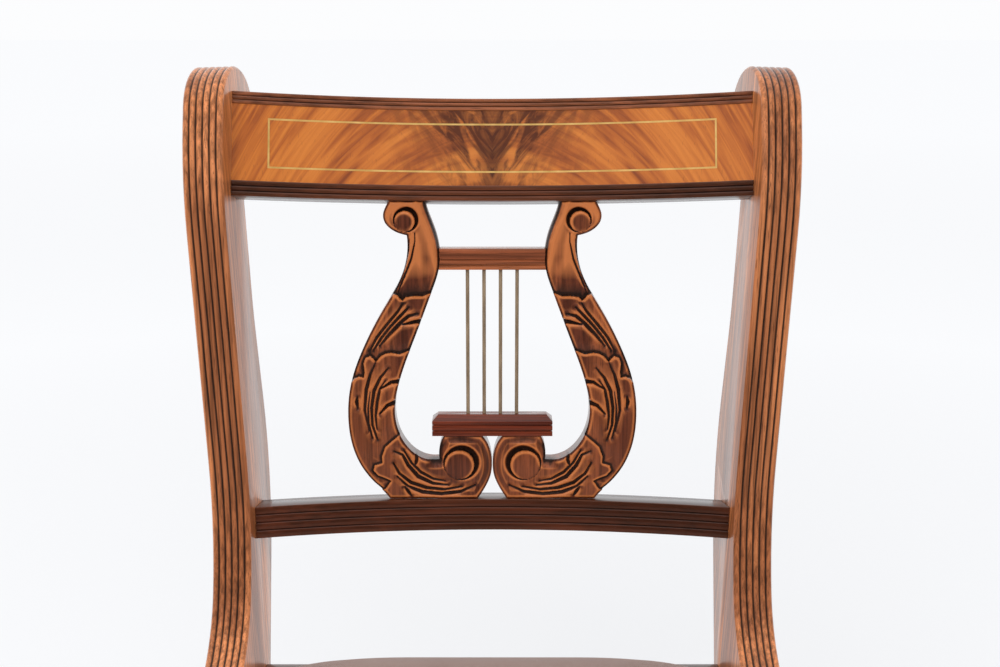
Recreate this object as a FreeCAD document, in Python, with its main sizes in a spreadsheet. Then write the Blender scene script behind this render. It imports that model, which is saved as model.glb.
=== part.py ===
import FreeCAD
import Part
import math
import os
from FreeCAD import Placement, Rotation, Vector

# Lyre back dining chair. Millimetres, +Z up, the front of the chair at -Y, floor at Z = 0.
# Each side of the chair is one flat frame: back post, side seat rail and front leg share a plane
# that spreads towards the front (splay) and leans out towards the top (cant).
# Side-frame coordinates: along = backwards in that plane, up = up in it, out = away from the seat.

doc = FreeCAD.newDocument("LyreBackChair")
sheet = doc.addObject("Spreadsheet::Sheet", "Sizes")

SIZES = [
    # side frames
    ("frame_thickness", 29.5),
    ("splay_angle", 6.84),
    ("cant_angle", 2.12),
    ("inner_half_width", 160.2),
    ("reed_count", 6),
    ("reed_chamfer", 1.6),
    # back post, read upwards from the straight stretch of its front face
    ("post_front_along", 12.0),
    ("straight_start_height", 600.0),
    ("straight_length", 172.0),
    ("top_bend_radius", 240.0),
    ("top_bend_angle", 18.5),
    ("scroll_approach", 12.6),
    ("scroll_radius", 37.0),
    ("post_depth", 47.3),
    # back post, read downwards from the same straight stretch
    ("waist_radius", 290.0),
    ("waist_angle", 19.0),
    ("sweep_radius", 105.0),
    ("post_joint_along", -62.0),
    ("back_swell_start", 719.0),
    ("back_swell_radius", 300.0),
    ("back_swell_angle", 5.5),
    ("back_swell_length", 54.0),
    ("back_waist_radius", 325.0),
    ("back_lean_angle", 17.0),
    ("leg_turn_height", 433.0),
    ("leg_turn_radius", 150.0),
    ("rear_leg_radius", 950.0),
    ("rear_leg_depth_top", 47.0),
    ("rear_leg_depth_foot", 31.0),
    ("rail_bracket_radius", 22.0),
    # side seat rail
    ("side_rail_height", 58.0),
    ("side_rail_front_along", -345.0),
    # front leg
    ("knee_radius", 26.0),
    ("knee_front_along", -404.0),
    ("front_leg_back_sweep", 7.0),
    ("front_leg_front_sweep", 15.0),
    ("front_leg_bracket_radius", 10.0),
    ("front_leg_rear_back_sweep", 3.0),
    ("front_leg_rear_front_sweep", 16.5),
    # joints between the parts of a side frame
    ("tenon_length", 22.0),
    ("tenon_thickness", 10.5),
    ("tenon_height", 40.0),
    ("joint_clearance", 0.1),
    ("mortise_extra_depth", 1.0),
    # crest rail
    ("crest_height", 75.5),
    ("crest_thickness", 17.9),
    ("crest_rake", 17.9),
    ("crest_bow", 24.3),
    ("crest_set_forward", 11.4),
    ("crest_above_scroll_centre", 20.5),
    ("crest_top_bead_height", 8.8),
    ("crest_bottom_bead_height", 11.2),
    ("crest_bead_depth", 2.4),
    ("bead_groove_depth", 1.1),
    ("bead_groove_width", 1.3),
    ("bead_reed_count", 3),
    ("veneer_recess", 1.0),
    ("veneer_thickness", 1.4),
    ("inlay_width", 1.3),
    ("inlay_thickness", 1.0),
    ("inlay_side_margin", 25.0),
    ("inlay_edge_margin", 9.6),
    ("crest_tenon_length", 18.0),
    ("crest_tenon_thickness", 8.0),
    ("crest_tenon_height", 48.0),
    # stay rail below the lyre
    ("stay_height", 24.1),
    ("stay_depth", 21.3),
    ("stay_rake", 7.1),
    ("stay_bow", 24.3),
    ("stay_top_below_waist", 37.4),
    ("stay_set_back", 11.3),
    ("stay_reed_count", 4),
    ("stay_tenon_length", 17.0),
    ("stay_tenon_thickness", 9.0),
    ("stay_tenon_height", 14.0),
    # lyre
    ("lyre_thickness", 15.5),
    ("lyre_half_width", 109.2),
    ("lyre_foot_half_span", 60.0),
    ("top_eye_radius", 7.4),
    ("bottom_eye_radius", 11.1),
    ("eye_channel_width", 3.6),
    ("eye_channel_narrow", 0.7),
    ("eye_channel_depth", 4.0),
    ("outline_tolerance", 0.1),
    ("yoke_height", 15.7),
    ("yoke_depth", 10.0),
    ("yoke_top_share", 0.8525),
    ("yoke_tenon_length", 5.0),
    ("plinth_height", 15.9),
    ("plinth_half_width", 45.6),
    ("plinth_depth", 17.0),
    ("plinth_chamfer", 4.5),
    ("plinth_groove_depth", 1.2),
    ("plinth_groove_width", 1.3),
    ("string_radius", 1.4),
    ("string_spacing", 12.3),
    ("string_count", 4),
    ("string_socket_depth", 3.0),
    ("stub_tenon_width", 12.0),
    ("stub_tenon_length", 8.0),
    ("stub_tenon_thickness", 6.0),
    # seat rails between the side frames
    ("front_rail_thickness", 24.0),
    ("front_rail_lip", 14.0),
    ("front_rail_setback", 1.5),
    ("rear_rail_thickness", 22.0),
    ("rear_rail_lip", 8.0),
    ("rear_rail_front", -0.5),
    ("seat_ledge_drop", 30.0),
    ("front_rail_tenon_length", 18.0),
    ("front_rail_tenon_thickness", 10.0),
    ("front_rail_tenon_height", 22.0),
    ("rear_rail_tenon_length", 18.0),
    ("rear_rail_tenon_thickness", 10.0),
    ("rear_rail_tenon_height", 22.0),
    ("bearer_width", 14.0),
    ("bearer_height", 20.0),
    ("bearer_end_gap", 2.0),
    ("block_leg", 52.0),
    ("block_height", 28.0),
    # slip seat
    ("seat_side_gap", 1.2),
    ("seat_rest_gap", 0.3),
    ("seat_corner_radius", 14.0),
    ("seat_corner_steps", 6),
    ("seat_crown", 36.0),
    ("dust_cover_thickness", 0.8),
    ("dust_cover_inset", 7.0),
    ("cloth_thickness", 2.2),
    ("cloth_turn_under", 20.0),
    ("slat_width", 44.0),
    ("slat_thickness", 18.0),
    ("web_thickness", 1.4),
    ("web_width", 50.0),
    ("web_gap", 22.0),
    ("web_overlap", 24.0),
]

for row, (name, value) in enumerate(SIZES, start=1):
    sheet.set(f"A{row}", name)
    sheet.set(f"B{row}", str(value))
    sheet.setAlias(f"B{row}", name)
doc.recompute()


def size(name):
    return float(sheet.get(name))


derived = doc.addObject("Spreadsheet::Sheet", "Derived")
derived_names = []


def derive(name, value):
    """Keeps a length or angle that follows from the sizes, so that features can be bound to it."""
    if name not in derived_names:
        derived_names.append(name)
        row = len(derived_names)
        derived.set(f"A{row}", name)
        derived.set(f"B{row}", str(value))
        derived.setAlias(f"B{row}", name)
        derived.recompute()
    return f"Derived.{name}"


def bind(obj, prop, expression):
    obj.setExpression(prop, expression)


# Drawing helpers

class Pen:
    """Draws lines and arcs that leave each other smoothly; heading in degrees, 0 along +x."""

    def __init__(self, x, y, heading):
        self.x = x
        self.y = y
        self.heading = heading
        self.edges = []

    def line(self, length):
        angle = math.radians(self.heading)
        self.line_to(self.x + length * math.cos(angle), self.y + length * math.sin(angle))

    def line_to(self, x, y):
        self.edges.append(Part.LineSegment(Vector(self.x, self.y, 0), Vector(x, y, 0)))
        self.x = x
        self.y = y

    def arc(self, radius, turn):
        side = math.copysign(1, turn)
        angle = math.radians(self.heading)
        centre_x = self.x - side * radius * math.sin(angle)
        centre_y = self.y + side * radius * math.cos(angle)

        def on_arc(share):
            spoke = angle + math.radians(turn * share) - side * math.pi / 2
            return Vector(centre_x + radius * math.cos(spoke), centre_y + radius * math.sin(spoke), 0)

        middle = on_arc(0.5)
        end = on_arc(1.0)
        self.edges.append(Part.Arc(Vector(self.x, self.y, 0), middle, end))
        self.x = end.x
        self.y = end.y
        self.heading += turn


def polygon(points):
    corners = [Vector(x, y, 0) for x, y in points]
    return [Part.LineSegment(a, b) for a, b in zip(corners, corners[1:] + corners[:1])]


def must_cut(name, before, body):
    if body.Shape.Volume > before - 1.0:
        raise RuntimeError(f"{name} takes nothing away")


def origin_feature(body, role):
    return next(feature for feature in body.Origin.OriginFeatures if feature.Role == role)


def new_body(name, placement=None):
    body = doc.addObject("PartDesign::Body", name)
    if placement is not None:
        body.Placement = placement
    return body


def add_sketch(body, name, edges, role="XY_Plane", offset=0.0):
    sketch = body.newObject("Sketcher::SketchObject", name)
    sketch.AttachmentSupport = [(origin_feature(body, role), "")]
    sketch.MapMode = "FlatFace"
    sketch.AttachmentOffset = Placement(Vector(0, 0, offset), Rotation())
    sketch.addGeometry(edges, False)
    return sketch


def add_pad(body, name, sketch, length, midplane=False, backwards=False):
    pad = body.newObject("PartDesign::Pad", name)
    pad.Profile = sketch
    bind(pad, "Length", length)
    pad.Midplane = midplane
    pad.Reversed = backwards
    return pad


def add_pocket(body, name, sketch, length, midplane=False, backwards=False):
    pocket = body.newObject("PartDesign::Pocket", name)
    pocket.Profile = sketch
    bind(pocket, "Length", length)
    pocket.Midplane = midplane
    pocket.Reversed = backwards
    return pocket


def edges_along(shape, curves, level):
    """Names of the shape's edges that lie on the curves, at one height of the pad."""
    guides = [curve.toShape() for curve in curves]
    names = []
    for index, edge in enumerate(shape.Edges, start=1):
        if any(abs(vertex.Z - level) > 1e-6 for vertex in edge.Vertexes):
            continue
        middle = edge.valueAt((edge.FirstParameter + edge.LastParameter) / 2)
        probe = Part.Vertex(middle.x, middle.y, 0)
        if min(guide.distToShape(probe)[0] for guide in guides) < 1e-4:
            names.append(f"Edge{index}")
    return names


def named(obj, label):
    obj.Label = label
    return obj


def cut(name, base, tool):
    result = doc.addObject("Part::Cut", name)
    result.Base = base
    result.Tool = tool
    return result


def fuse(name, parts):
    result = doc.addObject("Part::MultiFuse", name)
    result.Shapes = parts
    result.Refine = True
    return result


def box(name, length, width, height, placement):
    """A box whose three sizes are expressions on the sheet."""
    result = doc.addObject("Part::Box", name)
    bind(result, "Length", length)
    bind(result, "Width", width)
    bind(result, "Height", height)
    result.Placement = placement
    return result


def mirrored(name, source):
    result = doc.addObject("Part::Mirroring", name)
    result.Source = source
    result.Normal = Vector(1, 0, 0)
    return result


# Side-frame plane

def rotation_from(along, across, normal):
    return Rotation(along, across, normal, "XYZ")


splay = math.radians(size("splay_angle"))
cant = math.radians(size("cant_angle"))
AXIS_ALONG = Vector(-math.sin(splay), math.cos(splay), 0)
LEVEL_OUT = Vector(math.cos(splay), math.sin(splay), 0)
AXIS_UP = LEVEL_OUT * math.sin(cant) + Vector(0, 0, math.cos(cant))
AXIS_OUT = AXIS_ALONG.cross(AXIS_UP)

post_front = size("post_front_along")
straight_start = size("straight_start_height")


def post_top_path():
    """The post's front face from its straight stretch up and over the scroll."""
    pen = Pen(post_front, straight_start, 90)
    pen.line(size("straight_length"))
    pen.arc(size("top_bend_radius"), -size("top_bend_angle"))
    pen.line(size("scroll_approach"))
    return pen


approach = post_top_path()
lean = math.radians(size("top_bend_angle"))
scroll_radius = size("scroll_radius")
SCROLL_ALONG = approach.x + scroll_radius * math.cos(lean)
SCROLL_UP = approach.y - scroll_radius * math.sin(lean)

# Each foot runs a little past the floor and is cut level with it.
FOOT_OVERRUN = 3.0

lowest_sweep = Pen(post_front, straight_start, -90)
lowest_sweep.arc(size("waist_radius"), -size("waist_angle"))
lowest_sweep.arc(size("sweep_radius"), -(90 - size("waist_angle")))
SWEEP_END_ALONG = lowest_sweep.x
RAIL_TOP = lowest_sweep.y
RAIL_BOTTOM = RAIL_TOP - size("side_rail_height")


def rear_edge():
    """The post's rear edge from the neck under the scroll down to the floor."""
    neck = post_front + size("post_depth")
    drop = math.sqrt(max(scroll_radius ** 2 - (neck - SCROLL_ALONG) ** 2, 1.0))
    pen = Pen(neck, SCROLL_UP - drop, -90)
    pen.line_to(neck, size("back_swell_start"))
    pen.arc(size("back_swell_radius"), size("back_swell_angle"))
    pen.line(size("back_swell_length"))
    pen.arc(size("back_waist_radius"), -size("back_swell_angle") - size("back_lean_angle"))
    lean_down = math.radians(size("back_lean_angle"))
    pen.line((pen.y - size("leg_turn_height")) / math.cos(lean_down))
    pen.arc(size("leg_turn_radius"), size("back_lean_angle"))
    heel_angle = math.asin(pen.y / size("rear_leg_radius"))
    pen.arc(size("rear_leg_radius"), math.degrees(heel_angle))
    heel = pen.x
    pen.line(FOOT_OVERRUN / math.cos(heel_angle))
    return pen, heel


rear_pen, HEEL_ALONG = rear_edge()
neck_along = post_front + size("post_depth")


def knee_and_front():
    """The front leg's front face from the side rail over the knee to the floor."""
    knee = size("knee_radius")
    pen = Pen(size("side_rail_front_along"), RAIL_TOP, 180)
    pen.line_to(size("knee_front_along") + knee, RAIL_TOP)
    pen.arc(knee, 90 + size("front_leg_back_sweep"))
    back = math.radians(size("front_leg_back_sweep"))
    forward = math.radians(size("front_leg_front_sweep"))
    radius = pen.y / (math.sin(back) + math.sin(forward))
    pen.arc(radius, -size("front_leg_back_sweep") - size("front_leg_front_sweep"))
    toe = pen.x
    pen.line(FOOT_OVERRUN / math.cos(forward))
    return pen, toe


leg_front_chain, TOE_ALONG = knee_and_front()


def side_point(along, up, out, origin=Vector(0, 0, 0)):
    return origin + AXIS_ALONG * along + AXIS_UP * up + AXIS_OUT * out


# The chair stands with the middle of its depth at Y = 0.
thickness = size("frame_thickness")
front_limit = side_point(TOE_ALONG, 0, 0).y
rear_limit = max(
    side_point(SCROLL_ALONG + scroll_radius, SCROLL_UP, thickness).y,
    side_point(HEEL_ALONG, 0, thickness).y,
)
ORIGIN = Vector(size("inner_half_width"), -(front_limit + rear_limit) / 2, 0)
SIDE = Placement(ORIGIN, rotation_from(AXIS_ALONG, AXIS_UP, AXIS_OUT))


def at_side(along, up, out):
    return side_point(along, up, out, ORIGIN)


def inner_x(y, z):
    """Half the clear width between the side frames at a place in depth and height."""
    step = at_side(0, 0, 0)
    return step.x - ((y - step.y) * AXIS_OUT.y + z * AXIS_OUT.z) / AXIS_OUT.x


RAIL_TOP_Z = at_side(0, RAIL_TOP, 0).z
LEDGE_Z = RAIL_TOP_Z - size("seat_ledge_drop")


# Trimming blocks: everything outside the inner planes of the side frames, and below the floor

def big_box(name, placement, length, width, height):
    block = doc.addObject("Part::Box", name)
    block.Length = length
    block.Width = width
    block.Height = height
    block.Placement = placement
    return block


REACH = 1400.0
outside_right = big_box(
    "outside_right",
    Placement(at_side(-REACH / 2, -REACH / 4, 0), SIDE.Rotation),
    REACH,
    REACH,
    REACH / 4,
)
outside_left = mirrored("outside_left", outside_right)
below_floor = big_box(
    "below_floor", Placement(Vector(-REACH / 2, -REACH / 2, -REACH / 8), Rotation()), REACH, REACH, REACH / 8
)


def trim_between_frames(name, base):
    return cut(name, cut(name + "_half", base, outside_right), outside_left)


# Reeded members of the side frames

def reeded_body(name, outline, reeded):
    """One reed is a thin slice with both front edges chamfered; its copies make the full thickness."""
    body = new_body(name, SIDE)
    sketch = add_sketch(body, name + "_outline", outline)
    reed = add_pad(body, name + "_reed", sketch, "Sizes.frame_thickness / Sizes.reed_count")
    doc.recompute()
    top = thickness / size("reed_count")
    chamfer = body.newObject("PartDesign::Chamfer", name + "_reed_edges")
    chamfer.Base = (reed, edges_along(reed.Shape, reeded, 0.0) + edges_along(reed.Shape, reeded, top))
    bind(chamfer, "Size", "Sizes.reed_chamfer")
    doc.recompute()
    pattern = body.newObject("PartDesign::LinearPattern", name + "_reeds")
    pattern.TransformMode = "Whole shape"
    pattern.Direction = (origin_feature(body, "Z_Axis"), [""])
    bind(pattern, "Length", "Sizes.frame_thickness * (Sizes.reed_count - 1) / Sizes.reed_count")
    bind(pattern, "Occurrences", "Sizes.reed_count")
    body.Tip = pattern
    doc.recompute()
    return body


TENON_MIDDLE_UP = (RAIL_TOP + RAIL_BOTTOM) / 2 - 2.0


def side_joint_box(name, root, tip, extra):
    """Tenon or, with extra room, mortise between two members of a side frame."""
    slack = size("joint_clearance") if extra else 0.0
    deep = size("mortise_extra_depth") if extra else 0.0
    direction = math.copysign(1, tip - root)
    far = tip + direction * deep
    low = min(root, far)
    height = size("tenon_height") + 2 * slack
    width = size("tenon_thickness") + 2 * slack
    corner = at_side(low, TENON_MIDDLE_UP - height / 2, (thickness - width) / 2)
    block = doc.addObject("Part::Box", name)
    block.Placement = Placement(corner, SIDE.Rotation)
    block.Length = abs(far - root)
    if extra:
        bind(block, "Width", "Sizes.tenon_height + 2 * Sizes.joint_clearance")
        bind(block, "Height", "Sizes.tenon_thickness + 2 * Sizes.joint_clearance")
    else:
        bind(block, "Width", "Sizes.tenon_height")
        bind(block, "Height", "Sizes.tenon_thickness")
    return block


# Joints of the rails that run between the posts: tenon boxes in the rail's own raked frame.
# Each box starts inside the rail, so that the tenon grows out of the sloping end face.
TENON_ROOT = 8.0


def rail_joint_box(name, kind, corner, rotation, mortise):
    """The right-hand tenon of a kind of rail, or the mortise for it, grown by the joint clearance."""
    slack = size("joint_clearance") if mortise else 0.0
    sizes = [f"Sizes.{kind}_tenon_{part}" for part in ("length", "thickness", "height")]
    if mortise:
        sizes[0] += " + Sizes.mortise_extra_depth"
        sizes[1] += " + 2 * Sizes.joint_clearance"
        sizes[2] += " + 2 * Sizes.joint_clearance"
    grow = rotation.multVec(Vector(0, slack, slack))
    placement = Placement(corner - grow, rotation)
    return box(name, f"{sizes[0]} + {TENON_ROOT}", sizes[1], sizes[2], placement)


def rail_tenons(kind, corner, rotation):
    """A rail's two tenons and the mortise that takes the right-hand one."""
    right = rail_joint_box(kind + "_tenon_right", kind, corner, rotation, False)
    left = mirrored(kind + "_tenon_left", right)
    mortise = rail_joint_box(kind + "_mortise", kind, corner, rotation, True)
    return right, left, mortise


# Crest rail: a raked board bent about an upright axis in front of the chair

crest_rake = math.radians(size("crest_rake"))
CREST_UP = Vector(0, math.sin(crest_rake), math.cos(crest_rake))
CREST_BACK = Vector(0, math.cos(crest_rake), -math.sin(crest_rake))
CREST_ROTATION = rotation_from(Vector(1, 0, 0), CREST_BACK, CREST_UP)
scroll_centre = at_side(SCROLL_ALONG, SCROLL_UP, 0)
CREST_CORNER = Vector(
    0, scroll_centre.y - size("crest_set_forward"), scroll_centre.z + size("crest_above_scroll_centre")
)
crest_middle = CREST_CORNER - CREST_UP * (size("crest_height") / 2)
CREST_HALF = inner_x(crest_middle.y, crest_middle.z)
CREST_RADIUS = (CREST_HALF ** 2 + size("crest_bow") ** 2) / (2 * size("crest_bow"))
CREST_AXIS = CREST_CORNER + CREST_BACK * (size("crest_bow") - CREST_RADIUS)
CREST = Placement(CREST_AXIS, CREST_ROTATION)
CREST_HALF_ANGLE = math.degrees(math.asin(CREST_HALF / CREST_RADIUS))

stay_rake = math.radians(size("stay_rake"))
STAY_UP = Vector(0, math.sin(stay_rake), math.cos(stay_rake))
STAY_BACK = Vector(0, math.cos(stay_rake), -math.sin(stay_rake))
STAY_ROTATION = rotation_from(Vector(1, 0, 0), STAY_BACK, STAY_UP)
stay_up = straight_start - size("stay_top_below_waist")
stay_anchor = at_side(post_front, stay_up, 0)
STAY_CORNER = Vector(0, stay_anchor.y + size("stay_set_back") - 1.0, stay_anchor.z)
stay_middle = STAY_CORNER - STAY_UP * (size("stay_height") / 2)
STAY_HALF = inner_x(stay_middle.y, stay_middle.z)
STAY_RADIUS = (STAY_HALF ** 2 + size("stay_bow") ** 2) / (2 * size("stay_bow"))
STAY_AXIS = STAY_CORNER + STAY_BACK * (size("stay_bow") - STAY_RADIUS)
STAY = Placement(STAY_AXIS, STAY_ROTATION)

# A bent board is revolved past the side frames and trimmed by their planes.
OVERRUN_ANGLE = 3.0


def reeded_face(radius, top, bottom, depth, count, groove_depth, groove_width):
    """Section of a bent moulding: its front face at the radius has narrow grooves between reeds."""
    pitch = (top - bottom) / count
    points = [(radius + depth, top), (radius, top)]
    for index in range(1, count):
        level = top - index * pitch
        points.append((radius, level + groove_width / 2))
        points.append((radius + groove_depth, level))
        points.append((radius, level - groove_width / 2))
    points += [(radius, bottom), (radius + depth, bottom)]
    return points


def revolved(name, points, placement, half_angle):
    """A section in the plane of the bow's axis, turned evenly to both sides."""
    body = new_body(name, placement)
    sketch = add_sketch(body, name + "_section", polygon(points), "YZ_Plane")
    turn = body.newObject("PartDesign::Revolution", name + "_bow")
    turn.Profile = sketch
    turn.ReferenceAxis = (origin_feature(body, "Z_Axis"), [""])
    turn.Midplane = True
    bind(turn, "Angle", derive(name + "_turn", 2 * half_angle))
    return body


crest_turn = CREST_HALF_ANGLE + OVERRUN_ANGLE
crest_height = size("crest_height")
crest_core_front = CREST_RADIUS + size("crest_bead_depth")
crest_back = CREST_RADIUS + size("crest_thickness")
crest_core = revolved(
    "crest_core",
    [(crest_core_front, 0), (crest_back, 0), (crest_back, -crest_height), (crest_core_front, -crest_height)],
    CREST,
    crest_turn,
)
top_bead_bottom = -size("crest_top_bead_height")
bottom_bead_top = -crest_height + size("crest_bottom_bead_height")
crest_beads = {}
for bead, top, bottom in (
    ("crest_top_bead", 0.0, top_bead_bottom),
    ("crest_bottom_bead", bottom_bead_top, -crest_height),
):
    section = reeded_face(
        CREST_RADIUS,
        top,
        bottom,
        size("crest_bead_depth"),
        int(size("bead_reed_count")),
        size("bead_groove_depth"),
        size("bead_groove_width"),
    )
    blank = revolved(bead + "_blank", section, CREST, crest_turn)
    crest_beads[bead] = named(trim_between_frames(bead, blank), bead)

veneer_front = CREST_RADIUS + size("veneer_recess")
veneer_back = veneer_front + size("veneer_thickness")
veneer_blank = revolved(
    "veneer_blank",
    [
        (veneer_front, top_bead_bottom),
        (veneer_back, top_bead_bottom),
        (veneer_back, bottom_bead_top),
        (veneer_front, bottom_bead_top),
    ],
    CREST,
    crest_turn,
)

# The inlay is one rectangular line of brass, let into the veneer flush with its face.
inlay_half_angle = math.degrees(math.asin((CREST_HALF - size("inlay_side_margin")) / CREST_RADIUS))
inlay_top = top_bead_bottom - size("inlay_edge_margin")
inlay_bottom = bottom_bead_top + size("inlay_edge_margin")
inlay_back = veneer_front + size("inlay_thickness")
brass_inlay = revolved(
    "brass_inlay",
    [
        (veneer_front, inlay_top),
        (inlay_back, inlay_top),
        (inlay_back, inlay_bottom),
        (veneer_front, inlay_bottom),
    ],
    CREST,
    inlay_half_angle,
)
inlay_width = size("inlay_width")
inside_angle = math.degrees(
    math.asin((CREST_HALF - size("inlay_side_margin") - inlay_width) / CREST_RADIUS)
)
inlay_window = add_sketch(
    brass_inlay,
    "inlay_window",
    polygon(
        [
            (veneer_front - 1, inlay_top - inlay_width),
            (inlay_back + 1, inlay_top - inlay_width),
            (inlay_back + 1, inlay_bottom + inlay_width),
            (veneer_front - 1, inlay_bottom + inlay_width),
        ]
    ),
    "YZ_Plane",
)
doc.recompute()
inlay_groove = brass_inlay.newObject("PartDesign::Groove", "inlay_groove")
inlay_groove.Profile = inlay_window
inlay_groove.ReferenceAxis = (origin_feature(brass_inlay, "Z_Axis"), [""])
inlay_groove.Midplane = True
bind(inlay_groove, "Angle", derive("inlay_window_turn", 2 * inside_angle))
inlay_before = brass_inlay.Shape.Volume
doc.recompute()
must_cut("inlay_groove", inlay_before, brass_inlay)
veneer_trimmed = trim_between_frames("veneer_trimmed", veneer_blank)
crest_veneer = named(cut("crest_veneer", veneer_trimmed, brass_inlay), "crest_veneer")


def tenon_corner(base, back_axis, up_axis, half, back, up):
    return base + Vector(half - TENON_ROOT, 0, 0) + back_axis * back + up_axis * up


crest_tenon_back = (size("crest_bead_depth") + size("crest_thickness") - size("crest_tenon_thickness")) / 2
crest_tenon_corner = tenon_corner(
    CREST_CORNER,
    CREST_BACK,
    CREST_UP,
    CREST_HALF,
    crest_tenon_back + 0.6,
    -(crest_height + size("crest_tenon_height")) / 2,
)
crest_right, crest_left, crest_mortise = rail_tenons("crest", crest_tenon_corner, CREST_ROTATION)
crest_board = fuse("crest_board", [trim_between_frames("crest_trimmed", crest_core), crest_right, crest_left])

# Stay rail

stay_height = size("stay_height")
stay_section = reeded_face(
    STAY_RADIUS,
    0.0,
    -stay_height,
    size("stay_depth"),
    int(size("stay_reed_count")),
    size("bead_groove_depth"),
    size("bead_groove_width"),
)
stay_turn = math.degrees(math.asin(STAY_HALF / STAY_RADIUS)) + OVERRUN_ANGLE
stay_blank = revolved("stay_blank", stay_section, STAY, stay_turn)
stay_tenon_corner = tenon_corner(
    STAY_CORNER,
    STAY_BACK,
    STAY_UP,
    STAY_HALF,
    (size("stay_depth") - size("stay_tenon_thickness")) / 2 + 1.0,
    -(stay_height + size("stay_tenon_height")) / 2,
)
stay_right, stay_left, stay_mortise = rail_tenons("stay", stay_tenon_corner, STAY_ROTATION)
stay_board = fuse("stay_board", [trim_between_frames("stay_trimmed", stay_blank), stay_right, stay_left])

# Lyre: its flat plane stands on the stay rail and reaches the underside of the crest rail

def bow_at(radius, bow, x):
    """How far back a bent rail's front face lies at a distance from the middle."""
    return bow - radius + math.sqrt(radius ** 2 - x ** 2)


foot_span = size("lyre_foot_half_span")
stay_back = bow_at(STAY_RADIUS, size("stay_bow"), foot_span) + size("stay_depth") / 2
LYRE_FOOT = STAY_CORNER + STAY_BACK * stay_back
crest_back_middle = bow_at(CREST_RADIUS, size("crest_bow"), foot_span) + size("crest_thickness") / 2
LYRE_HEAD = CREST_CORNER + CREST_BACK * crest_back_middle - CREST_UP * crest_height
lyre_axis = LYRE_HEAD - LYRE_FOOT
LYRE_HEIGHT = lyre_axis.Length
LYRE_UP = Vector(lyre_axis.x, lyre_axis.y, lyre_axis.z).normalize()
LYRE_FRONT = Vector(1, 0, 0).cross(LYRE_UP)
LYRE = Placement(LYRE_FOOT, rotation_from(Vector(1, 0, 0), LYRE_UP, LYRE_FRONT))
half_width = size("lyre_half_width")
lyre_half_thickness = size("lyre_thickness") / 2

# Outline of the right arm: across as a share of the lyre's half width, up as a share of its height.
TOP_VOLUTE_INNER = (0.452, 1.000)
ARM_INSIDE = [
    (0.418, 0.950),
    (0.390, 0.915),
    (0.362, 0.862),
    (0.363, 0.785),
    (0.405, 0.720),
    (0.530, 0.560),
    (0.640, 0.413),
    (0.676, 0.310),
    (0.638, 0.222),
    (0.520, 0.155),
    (0.385, 0.140),
]
BOTTOM_VOLUTE_TAIL = (0.370, 0.140)
BOTTOM_VOLUTE_TOP = [(0.360, 0.200), (0.335, 0.2265)]
BOTTOM_VOLUTE_SHOULDER = (0.075, 0.2265)
BOTTOM_VOLUTE_INSIDE = [(0.030, 0.195), (0.004, 0.140), (0.008, 0.095), (0.060, 0.035), (0.135, -0.020)]
ARM_FOOT = (0.690, -0.020)
ARM_OUTSIDE = [
    (0.765, 0.030),
    (0.850, 0.072),
    (0.960, 0.165),
    (1.000, 0.280),
    (0.972, 0.410),
    (0.874, 0.535),
    (0.740, 0.655),
    (0.645, 0.732),
    (0.590, 0.800),
    (0.571, 0.868),
    (0.575, 0.897),
]
TOP_VOLUTE_OUTSIDE = [(0.618, 0.902), (0.678, 0.916), (0.722, 0.939), (0.732, 0.962), (0.716, 0.988)]
TOP_VOLUTE_OUTER = (0.655, 1.040)


def lyre_point(share):
    across, up = share
    return Vector(across * half_width, up * LYRE_HEIGHT, 0)


def smooth_through(shares):
    """A run of arcs that flow into each other through the points."""
    curve = Part.BSplineCurve()
    curve.interpolate([lyre_point(share) for share in shares])
    return curve.toBiArcs(size("outline_tolerance"))


def straight_between(first, last):
    return [Part.LineSegment(lyre_point(first), lyre_point(last))]


ARM_HEAD_INNER = (0.470, 1.040)
arm_runs = [
    smooth_through([ARM_HEAD_INNER, TOP_VOLUTE_INNER] + ARM_INSIDE[:-1] + [BOTTOM_VOLUTE_TAIL]),
    smooth_through([BOTTOM_VOLUTE_TAIL] + BOTTOM_VOLUTE_TOP),
    straight_between(BOTTOM_VOLUTE_TOP[-1], BOTTOM_VOLUTE_SHOULDER),
    smooth_through([BOTTOM_VOLUTE_SHOULDER] + BOTTOM_VOLUTE_INSIDE),
    straight_between(BOTTOM_VOLUTE_INSIDE[-1], ARM_FOOT),
    smooth_through([ARM_FOOT] + ARM_OUTSIDE),
    smooth_through([ARM_OUTSIDE[-1]] + TOP_VOLUTE_OUTSIDE + [TOP_VOLUTE_OUTER]),
    straight_between(TOP_VOLUTE_OUTER, ARM_HEAD_INNER),
]
HEAD_TENON_SHARE = 0.575
FOOT_TENON_SHARE = 0.430
TOP_EYE = (0.588, 0.942)
BOTTOM_EYE = (0.2305, 0.122)


def crescent(centre_share, radius, bearing):
    """A channel round a volute's eye, widest towards the bearing and narrowest on the far side."""
    centre = lyre_point(centre_share)
    heading = math.radians(bearing)
    wide = size("eye_channel_width")
    narrow = size("eye_channel_narrow")
    shift = Vector(math.cos(heading), math.sin(heading), 0) * ((wide - narrow) / 2)
    outer = Part.Circle(centre + shift, Vector(0, 0, 1), radius + (wide + narrow) / 2)
    return [outer, Part.Circle(centre, Vector(0, 0, 1), radius)]


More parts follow.
